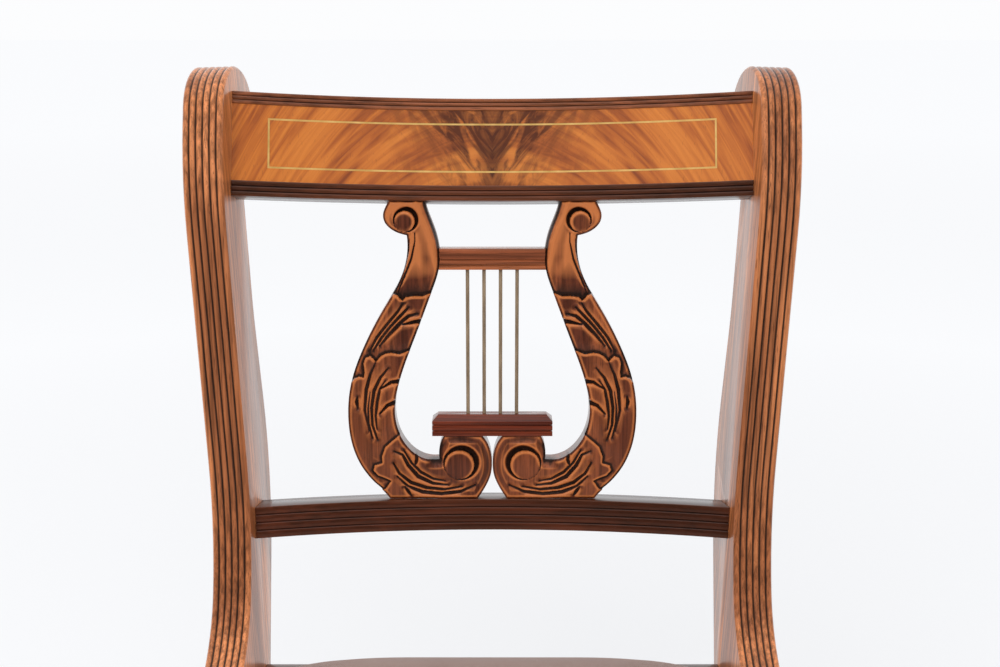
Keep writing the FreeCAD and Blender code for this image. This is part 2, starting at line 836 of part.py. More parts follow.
arm_body = new_body("arm_blank", LYRE)
arm_sketch = add_sketch(arm_body, "arm_outline", [edge for run in arm_runs for edge in run])
add_pad(arm_body, "arm_plank", arm_sketch, "Sizes.lyre_thickness", midplane=True)
doc.recompute()
for eye_name, eye, radius_name, bearing in (
    ("top", TOP_EYE, "top_eye_radius", 125.0),
    ("bottom", BOTTOM_EYE, "bottom_eye_radius", 125.0),
):
    rings = crescent(eye, size(radius_name), bearing)
    channel_sketch = add_sketch(
        arm_body, eye_name + "_eye_ring", rings, offset=lyre_half_thickness - size("eye_channel_depth")
    )
    doc.recompute()
    before = arm_body.Shape.Volume
    deep = "Sizes.eye_channel_depth + 1"
    add_pocket(arm_body, eye_name + "_eye_channel", channel_sketch, deep, backwards=True)
    doc.recompute()
    must_cut(eye_name + "_eye_channel", before, arm_body)

# The arm's head and foot are cut to the rails that hold it, with a stub tenon into each.
crest_block = revolved(
    "crest_block",
    [
        (CREST_RADIUS - 20, 0),
        (crest_back + 20, 0),
        (crest_back + 20, -crest_height),
        (CREST_RADIUS - 20, -crest_height),
    ],
    CREST,
    crest_turn,
)
stay_block = revolved(
    "stay_block",
    [
        (STAY_RADIUS - 20, -stay_height),
        (STAY_RADIUS + size("stay_depth") + 20, -stay_height),
        (STAY_RADIUS + size("stay_depth") + 20, 0),
        (STAY_RADIUS - 20, 0),
    ],
    STAY,
    stay_turn,
)
arm_fitted = cut("arm_fitted", cut("arm_under_crest", arm_body, crest_block), stay_block)



def stub_tenon(name, share, up):
    """A block across the joint between the right arm and the rail above or below it."""
    width = size("stub_tenon_width")
    length = size("stub_tenon_length")
    depth = size("stub_tenon_thickness")
    corner = LYRE.multVec(Vector(share * half_width - width / 2, up - length, -depth / 2))
    placement = Placement(corner, LYRE.Rotation)
    return box(
        name, "Sizes.stub_tenon_width", "2 * Sizes.stub_tenon_length", "Sizes.stub_tenon_thickness", placement
    )


head_tenon = stub_tenon("head_tenon", HEAD_TENON_SHARE, LYRE_HEIGHT)
foot_tenon = stub_tenon("foot_tenon", FOOT_TENON_SHARE, 0.0)
arm_tenoned = fuse("arm_tenoned", [arm_fitted, head_tenon, foot_tenon])
crest_rail = cut("crest_half_mortised", crest_board, head_tenon)
crest_rail = cut("crest_rail", crest_rail, mirrored("head_tenon_left", head_tenon))
stay_rail = cut("stay_half_mortised", stay_board, foot_tenon)
stay_rail = cut("stay_rail", stay_rail, mirrored("foot_tenon_left", foot_tenon))

# Yoke across the arms, with a short tenon into each

yoke_top = size("yoke_top_share") * LYRE_HEIGHT
yoke_height = size("yoke_height")
yoke_half = 0.3615 * half_width
yoke_front = size("yoke_depth") / 2
yoke_section = [
    (-yoke_front, yoke_top),
    (yoke_front - 1.0, yoke_top),
    (yoke_front, yoke_top - 1.0),
    (yoke_front, yoke_top - 0.50 * yoke_height),
    (yoke_front - 1.2, yoke_top - 0.54 * yoke_height),
    (yoke_front, yoke_top - 0.58 * yoke_height),
    (yoke_front, yoke_top - 0.75 * yoke_height),
    (yoke_front - 1.2, yoke_top - 0.79 * yoke_height),
    (yoke_front, yoke_top - 0.83 * yoke_height),
    (yoke_front, yoke_top - yoke_height),
    (-yoke_front, yoke_top - yoke_height),
]
# The section is drawn (forward, up) in a plane square to the lyre's width.
YOKE = Placement(LYRE_FOOT, rotation_from(LYRE_FRONT, LYRE_UP, Vector(-1, 0, 0)))
yoke_body = new_body("yoke_bar", YOKE)
yoke_sketch = add_sketch(yoke_body, "yoke_section", polygon(yoke_section))
yoke_bar_length = derive("yoke_bar_length", 2 * (yoke_half + 2.0))
add_pad(yoke_body, "yoke_bar_pad", yoke_sketch, yoke_bar_length, midplane=True)
yoke_tenon_half = yoke_half + size("yoke_tenon_length")
yoke_tenon_corner = Vector(-yoke_tenon_half, yoke_top - yoke_height * 0.75, -size("yoke_depth") / 4)
yoke_tenon = box(
    "yoke_tenon",
    derive("yoke_tenon_span", 2 * yoke_tenon_half),
    "Sizes.yoke_height / 2",
    "Sizes.yoke_depth / 2",
    Placement(LYRE.multVec(yoke_tenon_corner), LYRE.Rotation),
)
right_lyre_arm = cut("right_lyre_arm", arm_tenoned, yoke_tenon)
left_lyre_arm = mirrored("left_lyre_arm", right_lyre_arm)
yoke_shoulders = cut("yoke_shoulder_right", yoke_body, arm_body)
arm_body_left = mirrored("arm_blank_left", arm_body)
yoke_between = cut("yoke_between", yoke_shoulders, arm_body_left)
yoke_with_tenon = fuse("yoke_with_tenon", [yoke_between, yoke_tenon])

# Plinth on top of the two bottom volutes

volute_top = 0.2265 * LYRE_HEIGHT
plinth_half = size("plinth_half_width")
plinth_depth = size("plinth_depth")
plinth_height = size("plinth_height")
PLINTH = Placement(
    LYRE.multVec(Vector(0, volute_top, 0)), rotation_from(Vector(1, 0, 0), -LYRE_FRONT, LYRE_UP)
)


def centred_rectangle(half_x, half_y):
    return polygon([(-half_x, -half_y), (half_x, -half_y), (half_x, half_y), (-half_x, half_y)])


plinth_body = new_body("plinth_block", PLINTH)
plinth_sketch = add_sketch(plinth_body, "plinth_plan", centred_rectangle(plinth_half, plinth_depth / 2))
plinth_pad = add_pad(plinth_body, "plinth_pad", plinth_sketch, "Sizes.plinth_height")
doc.recompute()
top_edges = [
    f"Edge{index}"
    for index, edge in enumerate(plinth_pad.Shape.Edges, start=1)
    if all(abs(vertex.Z - plinth_height) < 1e-6 for vertex in edge.Vertexes)
]
plinth_edge = plinth_body.newObject("PartDesign::Chamfer", "plinth_chamfer")
plinth_edge.Base = (plinth_pad, top_edges)
bind(plinth_edge, "Size", "Sizes.plinth_chamfer")
doc.recompute()
groove_width = size("plinth_groove_width")
groove_depth = size("plinth_groove_depth")
for index, share in enumerate((0.30, 0.58)):
    level = share * (plinth_height - size("plinth_chamfer")) + groove_width * index
    ring = centred_rectangle(plinth_half + 2, plinth_depth / 2 + 2)
    ring += centred_rectangle(plinth_half - groove_depth, plinth_depth / 2 - groove_depth)
    ring_sketch = add_sketch(plinth_body, f"plinth_ring_{index}", ring, offset=level)
    plinth_before = plinth_body.Shape.Volume
    wide = "Sizes.plinth_groove_width"
    add_pocket(plinth_body, f"plinth_groove_{index}", ring_sketch, wide, backwards=True)
    doc.recompute()
    must_cut(f"plinth_groove_{index}", plinth_before, plinth_body)

# Strings: brass rods let into the plinth and the yoke

string_bottom = volute_top + plinth_height - size("string_socket_depth")
string_top = yoke_top - yoke_height + size("string_socket_depth")
strings = []
for index in range(int(size("string_count"))):
    across = (index - (size("string_count") - 1) / 2) * size("string_spacing")
    string = doc.addObject("Part::Cylinder", f"lyre_string_{index + 1}")
    bind(string, "Radius", "Sizes.string_radius")
    bind(string, "Height", derive("string_length", string_top - string_bottom))
    string.Placement = Placement(LYRE.multVec(Vector(across, string_bottom, 0)), PLINTH.Rotation)
    strings.append(named(string, f"lyre_string_{index + 1}"))
string_group = doc.addObject("Part::Compound", "string_group")
string_group.Links = strings
lyre_yoke = named(cut("lyre_yoke", yoke_with_tenon, string_group), "lyre_yoke")
lyre_plinth = named(cut("lyre_plinth", plinth_body, string_group), "lyre_plinth")

# Front and rear seat rails: straight rails with a rebate on the inside for the slip seat

seat_rail_height = RAIL_TOP_Z - at_side(0, RAIL_BOTTOM, 0).z
knee_front = at_side(size("knee_front_along"), RAIL_TOP, 0).y
FRONT_RAIL_Y = knee_front + size("front_rail_setback")
REAR_RAIL_Y = ORIGIN.y + size("rear_rail_front")
RAIL_SECTION = rotation_from(Vector(0, 1, 0), Vector(0, 0, 1), Vector(1, 0, 0))
rail_bottom_z = RAIL_TOP_Z - seat_rail_height


def straight_rail(name, edges):
    """A section drawn (back, up) and padded evenly to both sides, wider than the chair."""
    body = new_body(name, Placement(Vector(0, 0, 0), RAIL_SECTION))
    sketch = add_sketch(body, name + "_section", edges)
    past_the_sides = 2 * inner_x(FRONT_RAIL_Y, RAIL_TOP_Z) + 40
    add_pad(body, name + "_pad", sketch, derive("seat_rail_blank_length", past_the_sides), midplane=True)
    return body


front_back = FRONT_RAIL_Y + size("front_rail_thickness")
front_lip = FRONT_RAIL_Y + size("front_rail_lip")

# The rail's rounded top edge follows the knees of the front legs, a setback inside their reeds.
nose = size("knee_radius") - size("front_rail_setback")
nose_turn = math.degrees(math.acos(max(1 - size("front_rail_lip") / nose, 0.0)))
front_edges = Pen(FRONT_RAIL_Y, rail_bottom_z, 90)
front_edges.line_to(FRONT_RAIL_Y, RAIL_TOP_Z - size("knee_radius"))
front_edges.arc(nose, -nose_turn)
if front_edges.x < front_lip - 0.01:
    front_edges.line_to(front_lip, front_edges.y)
front_edges.line_to(front_lip, LEDGE_Z)
front_edges.line_to(front_back, LEDGE_Z)
front_edges.line_to(front_back, rail_bottom_z)
front_edges.line_to(FRONT_RAIL_Y, rail_bottom_z)
rear_back = REAR_RAIL_Y + size("rear_rail_thickness")
rear_lip = rear_back - size("rear_rail_lip")
rear_section = [
    (REAR_RAIL_Y, rail_bottom_z),
    (REAR_RAIL_Y, LEDGE_Z),
    (rear_lip, LEDGE_Z),
    (rear_lip, RAIL_TOP_Z),
    (rear_back, RAIL_TOP_Z),
    (rear_back, rail_bottom_z),
]
seat_rail_mortises = []


def tenoned_rail(name, kind, body, middle_y):
    half = inner_x(middle_y, LEDGE_Z)
    height = size(kind + "_tenon_height")
    low = (rail_bottom_z + LEDGE_Z - height) / 2
    corner = Vector(half - TENON_ROOT, middle_y - size(kind + "_tenon_thickness") / 2, low)
    right, left, mortise = rail_tenons(kind, corner, Rotation())
    seat_rail_mortises.append(mortise)
    return fuse(name, [trim_between_frames(name + "_trimmed", body), right, left])


front_seat_rail = tenoned_rail(
    "front_seat_rail",
    "front_rail",
    straight_rail("front_rail_bar", front_edges.edges),
    (FRONT_RAIL_Y + front_back) / 2,
)
rear_seat_rail = tenoned_rail(
    "rear_seat_rail",
    "rear_rail",
    straight_rail("rear_rail_bar", polygon(rear_section)),
    (REAR_RAIL_Y + rear_back) / 2,
)

# Glue blocks and bearers under the seat. The right-hand ones are made, the left mirrored.

block_leg = size("block_leg")


def level_prism(name, points, top, height_name):
    """A level-topped block under the seat, fitted to the right side frame's inner plane."""
    body = new_body(name + "_blank", Placement(Vector(0, 0, top - size(height_name)), Rotation()))
    sketch = add_sketch(body, name + "_plan", polygon(points))
    add_pad(body, name + "_pad", sketch, f"Sizes.{height_name}")
    return cut(name + "_fitted", body, outside_right)


corner_blocks = []
for end, corner_y, direction in (("front", front_back, 1), ("rear", REAR_RAIL_Y, -1)):
    side_y = corner_y + direction * block_leg
    past_side = inner_x(corner_y, LEDGE_Z) + block_leg
    plan = [
        (past_side, corner_y),
        (past_side, side_y),
        (inner_x(side_y, LEDGE_Z), side_y),
        (inner_x(corner_y, LEDGE_Z) - block_leg, corner_y),
    ]
    block = named(level_prism(f"{end}_block", plan, LEDGE_Z, "block_height"), f"right_{end}_corner_block")
    corner_blocks += [block, mirrored(f"left_{end}_corner_block", block)]


# The bearer carries the slip seat's edge along a side rail, between the corner blocks.
bearer_front = front_back + block_leg + size("bearer_end_gap")
bearer_rear = REAR_RAIL_Y - block_leg - size("bearer_end_gap")
bearer_width = size("bearer_width") / math.cos(splay)
bearer_plan = [
    (inner_x(bearer_front, LEDGE_Z) - bearer_width, bearer_front),
    (inner_x(bearer_front, LEDGE_Z) + bearer_width, bearer_front),
    (inner_x(bearer_rear, LEDGE_Z) + bearer_width, bearer_rear),
    (inner_x(bearer_rear, LEDGE_Z) - bearer_width, bearer_rear),
]
right_bearer = named(level_prism("bearer", bearer_plan, LEDGE_Z, "bearer_height"), "right_seat_bearer")
left_bearer = mirrored("left_seat_bearer", right_bearer)

# Back post with its rear leg

front_chain = Pen(post_front, straight_start, -90)
front_chain.arc(size("waist_radius"), -size("waist_angle"))
reach_along = SWEEP_END_ALONG - size("post_joint_along")
joint_angle = math.degrees(math.acos(max(min(-reach_along / size("sweep_radius"), 1.0), -1.0)))
front_chain.arc(size("sweep_radius"), -(joint_angle - size("waist_angle")))
JOINT_TOP = front_chain.y
scroll_chain = post_top_path()
neck_angle = math.degrees(math.acos((neck_along - SCROLL_ALONG) / scroll_radius))
scroll_turn = 180 - size("top_bend_angle") + neck_angle
scroll_chain.arc(scroll_radius, -scroll_turn)
post_reeded = front_chain.edges + scroll_chain.edges


def rear_leg_front():
    """From the post's foot up the front of the rear leg to the underside of the side rail."""
    toe = HEEL_ALONG - size("rear_leg_depth_foot")
    top_along = rear_pen_top_along() - size("rear_leg_depth_top")
    bracket = size("rail_bracket_radius")
    top = RAIL_BOTTOM - bracket
    back = toe - top_along
    radius = (top ** 2 + back ** 2) / (2 * back)
    toe_angle = math.asin(top / radius)
    pen = Pen(top_along, top, -90)
    pen.arc(radius, math.degrees(toe_angle))
    pen.line(FOOT_OVERRUN / math.cos(toe_angle))
    bracket_pen = Pen(top_along, top, 90)
    bracket_pen.arc(bracket, 90)
    bracket_pen.line_to(size("post_joint_along"), RAIL_BOTTOM)
    bracket_pen.line_to(size("post_joint_along"), JOINT_TOP)
    return pen, bracket_pen


def rear_pen_top_along():
    """Where the rear edge of the leg is plumb, just below the seat."""
    return min(point.x for edge in rear_pen.edges for point in edge.toShape().discretize(9))


leg_front, leg_bracket = rear_leg_front()
foot_line = Part.LineSegment(
    Vector(leg_front.x, leg_front.y, 0), Vector(rear_pen.x, rear_pen.y, 0)
)
post_outline = post_reeded + rear_pen.edges + [foot_line] + leg_front.edges + leg_bracket.edges
post_body = reeded_body("post_plank", post_outline, post_reeded)
side_rail_post_tenon = (size("post_joint_along"), size("post_joint_along") + size("tenon_length"))
side_rail_leg_tenon = (size("side_rail_front_along"), size("side_rail_front_along") - size("tenon_length"))
post_cuts = doc.addObject("Part::MultiFuse", "post_cuts")
post_cuts.Shapes = [
    below_floor,
    side_joint_box("side_rail_post_mortise", *side_rail_post_tenon, True),
    crest_mortise,
    stay_mortise,
    seat_rail_mortises[1],
]
right_back_post = cut("right_back_post", post_body, post_cuts)
left_back_post = mirrored("left_back_post", right_back_post)

# Side seat rail: the reeded sweep runs on along its top

rail_start = Pen(size("post_joint_along"), JOINT_TOP, -90 - joint_angle)
rail_start.arc(size("sweep_radius"), -(90 - joint_angle))
rail_start.line_to(size("side_rail_front_along"), RAIL_TOP)
side_rail_top = list(rail_start.edges)
rail_start.line_to(size("side_rail_front_along"), RAIL_BOTTOM)
rail_start.line_to(size("post_joint_along"), RAIL_BOTTOM)
rail_start.line_to(size("post_joint_along"), JOINT_TOP)
side_rail_body = reeded_body("side_rail_bar", rail_start.edges, side_rail_top)
right_side_rail = fuse(
    "right_side_rail",
    [
        side_rail_body,
        side_joint_box("side_rail_rear_tenon", *side_rail_post_tenon, False),
        side_joint_box("side_rail_front_tenon", *side_rail_leg_tenon, False),
    ],
)
left_side_rail = mirrored("left_side_rail", right_side_rail)

# Front leg

rail_end = size("side_rail_front_along")
leg_rear = Pen(rail_end, RAIL_TOP, -90)
leg_rear.line_to(rail_end, RAIL_BOTTOM)
leg_rear.heading = 180
leg_rear.arc(size("front_leg_bracket_radius"), 90 + size("front_leg_rear_back_sweep"))
rear_back_sweep = math.radians(size("front_leg_rear_back_sweep"))
rear_front_sweep = math.radians(size("front_leg_rear_front_sweep"))
leg_rear_radius = leg_rear.y / (math.sin(rear_back_sweep) + math.sin(rear_front_sweep))
leg_rear.arc(leg_rear_radius, -size("front_leg_rear_back_sweep") - size("front_leg_rear_front_sweep"))
leg_rear.line(FOOT_OVERRUN / math.cos(rear_front_sweep))
leg_rear.line_to(leg_front_chain.x, leg_front_chain.y)
leg_body = reeded_body("front_leg_plank", leg_front_chain.edges + leg_rear.edges, leg_front_chain.edges)
leg_cuts = doc.addObject("Part::MultiFuse", "leg_cuts")
leg_cuts.Shapes = [
    below_floor,
    side_joint_box("side_rail_leg_mortise", *side_rail_leg_tenon, True),
    seat_rail_mortises[0],
]
right_front_leg = cut("right_front_leg", leg_body, leg_cuts)
left_front_leg = mirrored("left_front_leg", right_front_leg)

# Slip seat: a slatted frame with webbing, pad, cloth cover and dust cover, which lifts out

seat_front = front_lip + size("seat_side_gap")
seat_rear = rear_lip - size("seat_side_gap")
SEAT_BOTTOM = LEDGE_Z + size("seat_rest_gap")


def seat_half(y):
    return inner_x(y, LEDGE_Z) - size("seat_side_gap") / math.cos(splay)


def seat_outline(inset, z, radius):
    """A trapezium inside the seat opening by the inset, its corners rounded in short straight steps."""
    front = seat_front + inset
    rear = seat_rear - inset
    slope = inset / math.cos(splay)
    corners = [
        Vector(-seat_half(front) + slope, front, z),
        Vector(seat_half(front) - slope, front, z),
        Vector(seat_half(rear) - slope, rear, z),
        Vector(-seat_half(rear) + slope, rear, z),
    ]
    steps = int(size("seat_corner_steps"))
    points = []
    for index, corner in enumerate(corners):
        before = (corner - corners[index - 1]).normalize()
        after = (corners[(index + 1) % len(corners)] - corner).normalize()
        turn = before.getAngle(after)
        start = corner - before * (radius * math.tan(turn / 2))
        centre = start + Vector(-before.y, before.x, 0) * radius
        first = math.atan2(-before.x, before.y)
        for step in range(steps + 1):
            spoke = first + turn * step / steps
            points.append(centre + Vector(math.cos(spoke), math.sin(spoke), 0) * radius)
    return points


# Crown of the seat from its rim to its flat middle: share of the rise, how far in, corner radius added.
CROWN_STAGES = [
    (0.00, 0.0, 0.0),
    (0.27, 3.0, 26.0),
    (0.50, 10.0, 58.0),
    (0.66, 20.0, 82.0),
    (0.82, 38.0, 92.0),
    (0.94, 68.0, 74.0),
    (1.00, 104.0, 42.0),
]


def face_through(points):
    return Part.Face(Part.makePolygon(points + points[:1]))


def crowned_solid(inset, bottom, rim, crown, radius):
    """Upright sides to the rim, then a crown of flat facets that draws in towards its top."""
    rings = [seat_outline(inset, bottom, radius)]
    for rise, draw, rounding in CROWN_STAGES:
        rings.append(seat_outline(inset + draw, rim + rise * crown, radius + rounding))
    facets = [face_through(rings[0]), face_through(rings[-1])]
    for lower, upper in zip(rings, rings[1:]):
        for index in range(len(lower)):
            facets.append(face_through([lower[index - 1], lower[index], upper[index], upper[index - 1]]))
    return Part.makeSolid(Part.makeShell(facets))


cloth = size("cloth_thickness")
rim_z = RAIL_TOP_Z
corner_radius = size("seat_corner_radius")
cover_bottom = SEAT_BOTTOM + size("dust_cover_thickness")
slat_bottom = cover_bottom + cloth
slat_top = slat_bottom + size("slat_thickness")
web_top = slat_top + 2 * size("web_thickness")
crown = size("seat_crown")
outer_form = crowned_solid(0.0, cover_bottom, rim_z, crown, corner_radius)
inner_form = crowned_solid(cloth, slat_bottom, rim_z, crown - cloth, corner_radius - cloth)
turn_under = face_through(seat_outline(size("cloth_turn_under"), cover_bottom - 1, corner_radius))
mouth = turn_under.extrude(Vector(0, 0, cloth + 2))
seat_cover = doc.addObject("Part::Feature", "seat_cover")
seat_cover.Shape = outer_form.cut(inner_form).cut(mouth)
named(seat_cover, "seat_cover")

pad_base = Part.makeBox(REACH, REACH, web_top + 1, Vector(-REACH / 2, -REACH / 2, -1))
seat_pad = doc.addObject("Part::Feature", "seat_pad")
seat_pad.Shape = inner_form.cut(pad_base)
named(seat_pad, "seat_pad")

slat_width = size("slat_width")


def slat(name, points):
    body = new_body(name, Placement(Vector(0, 0, slat_bottom), Rotation()))
    sketch = add_sketch(body, name + "_plan", polygon(points))
    add_pad(body, name + "_pad", sketch, "Sizes.slat_thickness")
    return body


inside = cloth + 0.3
slat_front_y = seat_front + inside
slat_rear_y = seat_rear - inside


def slat_half(y):
    return seat_half(y) - inside / math.cos(splay)


clip = 12.0
front_inner_y = slat_front_y + slat_width
rear_inner_y = slat_rear_y - slat_width
named(
    slat(
        "seat_front_slat",
        [
            (-slat_half(slat_front_y) + clip, slat_front_y),
            (slat_half(slat_front_y) - clip, slat_front_y),
            (slat_half(slat_front_y + clip), slat_front_y + clip),
            (slat_half(front_inner_y), front_inner_y),
            (-slat_half(front_inner_y), front_inner_y),
            (-slat_half(slat_front_y + clip), slat_front_y + clip),
        ],
    ),
    "seat_front_slat",
)
named(
    slat(
        "seat_rear_slat",
        [
            (-slat_half(rear_inner_y), rear_inner_y),
            (slat_half(rear_inner_y), rear_inner_y),
            (slat_half(slat_rear_y - clip), slat_rear_y - clip),
            (slat_half(slat_rear_y) - clip, slat_rear_y),
            (-slat_half(slat_rear_y) + clip, slat_rear_y),
            (-slat_half(slat_rear_y - clip), slat_rear_y - clip),
        ],
    ),
    "seat_rear_slat",
)
side_width = slat_width / math.cos(splay)
right_slat = slat(
    "seat_right_slat",
    [
        (slat_half(front_inner_y) - side_width, front_inner_y),
        (slat_half(front_inner_y), front_inner_y),
        (slat_half(rear_inner_y), rear_inner_y),
        (slat_half(rear_inner_y) - side_width, rear_inner_y),
    ],
)
named(right_slat, "seat_right_slat")
named(mirrored("seat_left_slat", right_slat), "seat_left_slat")

# Webbing: straps that cross over each other on top of the slats

web = size("web_thickness")
web_width = size("web_width")
web_pitch = web_width + size("web_gap")
overlap = size("web_overlap")


def strap_places(length):
    """Middles of as many straps as fit a length at the pitch, centred on it."""
    count = max(int((length + size("web_gap")) // web_pitch), 1)
    return [(index - (count - 1) / 2) * web_pitch for index in range(count)]


def strap(x, y, z, length, width):
    return Part.makeBox(length, width, web, Vector(x, y, z))


narrow = 2 * (slat_half(rear_inner_y) - side_width)
run_front = front_inner_y - overlap
run_rear = rear_inner_y + overlap
lengthwise = doc.addObject("Part::Feature", "webbing_lengthwise")
lengthwise.Shape = Part.makeCompound(
    [
        strap(place - web_width / 2, run_front, slat_top, web_width, run_rear - run_front)
        for place in strap_places(narrow)
    ]
)
named(lengthwise, "webbing_lengthwise")
middle_y = (front_inner_y + rear_inner_y) / 2
crosswise_straps = []
for place in strap_places(rear_inner_y - front_inner_y):
    y = middle_y + place
    half = slat_half(y + web_width / 2) - side_width + overlap
    crosswise_straps.append(strap(-half, y - web_width / 2, slat_top + web, 2 * half, web_width))
crosswise = doc.addObject("Part::Feature", "webbing_crosswise")
crosswise.Shape = Part.makeCompound(crosswise_straps)
named(crosswise, "webbing_crosswise")

dust_face = face_through(seat_outline(size("dust_cover_inset"), SEAT_BOTTOM, corner_radius))
dust_cover = doc.addObject("Part::Feature", "dust_cover")
dust_cover.Shape = dust_face.extrude(Vector(0, 0, size("dust_cover_thickness")))
named(dust_cover, "dust_cover")

doc.recompute()

# Export: each sub-part under its own name, after every object has been checked

NODES = [
    "right_back_post",
    "left_back_post",
    "right_side_rail",
    "left_side_rail",
    "right_front_leg",
    "left_front_leg",
    "front_seat_rail",
    "rear_seat_rail",
    "crest_rail",
    "crest_top_bead",
    "crest_bottom_bead",
    "crest_veneer",
    "brass_inlay",
    "stay_rail",
    "right_lyre_arm",
    "left_lyre_arm",
    "lyre_yoke",
    "lyre_plinth",
    "lyre_string_1",
    "lyre_string_2",
    "lyre_string_3",
    "lyre_string_4",
    "right_front_corner_block",
    "left_front_corner_block",
    "right_rear_corner_block",
    "left_rear_corner_block",
    "right_seat_bearer",
    "left_seat_bearer",
    "seat_front_slat",
    "seat_rear_slat",
    "seat_right_slat",
    "seat_left_slat",
    "webbing_lengthwise",
    "webbing_crosswise",
    "seat_pad",
    "seat_cover",
    "dust_cover",
]

for obj in doc.Objects:
    if any(word in obj.State for word in ("Invalid", "Error")):
        raise RuntimeError(f"{obj.Name} failed to compute: {obj.State}")

os.makedirs("parts", exist_ok=True)
for node in NODES:
    found = doc.getObjectsByLabel(node)
    if len(found) != 1:
        raise RuntimeError(f"{node}: {len(found)} objects have this label")
    shape = found[0].Shape
    if shape.isNull() or not shape.isValid():
        raise RuntimeError(f"{node} has no valid shape")
    shape.exportStep(f"parts/{node}.step")
    bounds = shape.BoundBox
    print(
        f"{node}: {len(shape.Solids)} solids, {shape.Volume / 1000:.1f} cm3,"
        f" x {bounds.XMin:.1f}..{bounds.XMax:.1f}"
        f" y {bounds.YMin:.1f}..{bounds.YMax:.1f}"
        f" z {bounds.ZMin:.1f}..{bounds.ZMax:.1f}"
    )
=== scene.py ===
# %% [markdown]
# A scroll-back dining chair of reeded mahogany, with a carved lyre in its back, brass strings and a
# velvet slip seat. The imported solids give every size. This script turns them into what a polisher,
# a carver and an upholsterer would leave behind: rounded reeds, dark wax in the hollows, a carved
# leaf surface, figured veneer and a soft seat. Painted shade darkens the hollows along with the wax,
# and painted highlights lighten the proud edges along with their wear.

# %% Load the imported chair
import math

import bmesh
import bpy
import numpy as np
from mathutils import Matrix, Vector, geometry, kdtree


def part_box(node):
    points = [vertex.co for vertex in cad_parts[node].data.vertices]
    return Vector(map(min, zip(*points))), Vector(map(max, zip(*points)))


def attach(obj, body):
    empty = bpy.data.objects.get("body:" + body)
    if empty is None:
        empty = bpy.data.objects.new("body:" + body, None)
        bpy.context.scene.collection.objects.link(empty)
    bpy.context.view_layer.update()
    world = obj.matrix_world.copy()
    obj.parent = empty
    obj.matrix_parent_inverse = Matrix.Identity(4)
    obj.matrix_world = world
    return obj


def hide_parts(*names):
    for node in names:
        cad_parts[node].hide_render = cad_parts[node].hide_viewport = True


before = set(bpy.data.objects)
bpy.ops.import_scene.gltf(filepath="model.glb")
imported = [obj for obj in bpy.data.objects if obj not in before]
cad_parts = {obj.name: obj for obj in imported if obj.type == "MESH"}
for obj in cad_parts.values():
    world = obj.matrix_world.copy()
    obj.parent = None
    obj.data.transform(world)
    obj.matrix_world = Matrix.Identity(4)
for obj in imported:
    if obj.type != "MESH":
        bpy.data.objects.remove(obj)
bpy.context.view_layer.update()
MM = 0.001

# %% [markdown]
# Materials are trees of small nodes. They could be wired by hand, node by node, but the same few
# steps come back all the time. So each helper adds one node, sets its values and returns the output
# that the next node needs, and one line stays one idea.


# %% Node helpers
def node(tree, kind, **settings):
    made = tree.nodes.new(kind)
    for name, value in settings.items():
        setattr(made, name, value)
    return made


def math_node(tree, operation, first, second=None, clamp=False):
    made = node(tree, "ShaderNodeMath", operation=operation, use_clamp=clamp)
    for slot, value in enumerate((first, second)):
        if value is None:
            continue
        if isinstance(value, (int, float)):
            made.inputs[slot].default_value = value
        else:
            tree.links.new(value, made.inputs[slot])
    return made.outputs[0]


# %% [markdown]
# Noise gives natural variety, a map range picks the part of it that matters, a ramp or a mix turns
# it into colour, and a mapping stretches it along a board. A node group with named inputs can then
# be used by many materials.

# %% Pattern and colour helpers
def noise(tree, vector, scale, detail=4.0, roughness=0.55, distortion=0.0):
    made = node(tree, "ShaderNodeTexNoise")
    made.inputs["Scale"].default_value = scale
    made.inputs["Detail"].default_value = detail
    made.inputs["Roughness"].default_value = roughness
    made.inputs["Distortion"].default_value = distortion
    tree.links.new(vector, made.inputs["Vector"])
    return made.outputs["Fac"]


def remap(tree, value, low, high, to_low=0.0, to_high=1.0):
    made = node(tree, "ShaderNodeMapRange")
    made.inputs["From Min"].default_value = low
    made.inputs["From Max"].default_value = high
    made.inputs["To Min"].default_value = to_low
    made.inputs["To Max"].default_value = to_high
    tree.links.new(value, made.inputs["Value"])
    return made.outputs["Result"]


def mix(tree, factor, first, second, blend="MIX"):
    made = node(tree, "ShaderNodeMix", data_type="RGBA", blend_type=blend)
    for socket, value in ((made.inputs[0], factor), (made.inputs[6], first), (made.inputs[7], second)):
        if isinstance(value, (int, float)):
            socket.default_value = value
        elif isinstance(value, tuple):
            socket.default_value = (*value, 1.0)
        else:
            tree.links.new(value, socket)
    return made.outputs[2]


def ramp(tree, value, stops):
    made = node(tree, "ShaderNodeValToRGB")
    band = made.color_ramp
    while len(band.elements) < len(stops):
        band.elements.new(0.5)
    for element, (place, colour) in zip(band.elements, stops):
        element.position = place
        element.color = (*colour, 1.0)
    tree.links.new(value, made.inputs["Fac"])
    return made.outputs["Color"]


def stretch(tree, vector, scale, turn=(0.0, 0.0, 0.0)):
    made = node(tree, "ShaderNodeMapping")
    made.inputs["Scale"].default_value = scale
    made.inputs["Rotation"].default_value = turn
    tree.links.new(vector, made.inputs["Vector"])
    return made.outputs["Vector"]


def new_group(name, inputs, outputs):
    tree = bpy.data.node_groups.new(name, "ShaderNodeTree")
    for kind, title, value in inputs:
        socket = tree.interface.new_socket(title, in_out="INPUT", socket_type=kind)
        if value is not None:
            socket.default_value = value
    for kind, title in outputs:
        tree.interface.new_socket(title, in_out="OUTPUT", socket_type=kind)
    return tree, node(tree, "NodeGroupInput"), node(tree, "NodeGroupOutput")


# %% [markdown]
# Old polished mahogany is brown-red with fine long pores and paler ribbons where the grain turns. A
# picture of one board would not fit the next, so the grain is noise stretched along the board: broad
# for the ribbons, fine for the fibres, finer still for the pores. One group makes it for all the
# wood, with inputs for the way the board runs and for its colours.

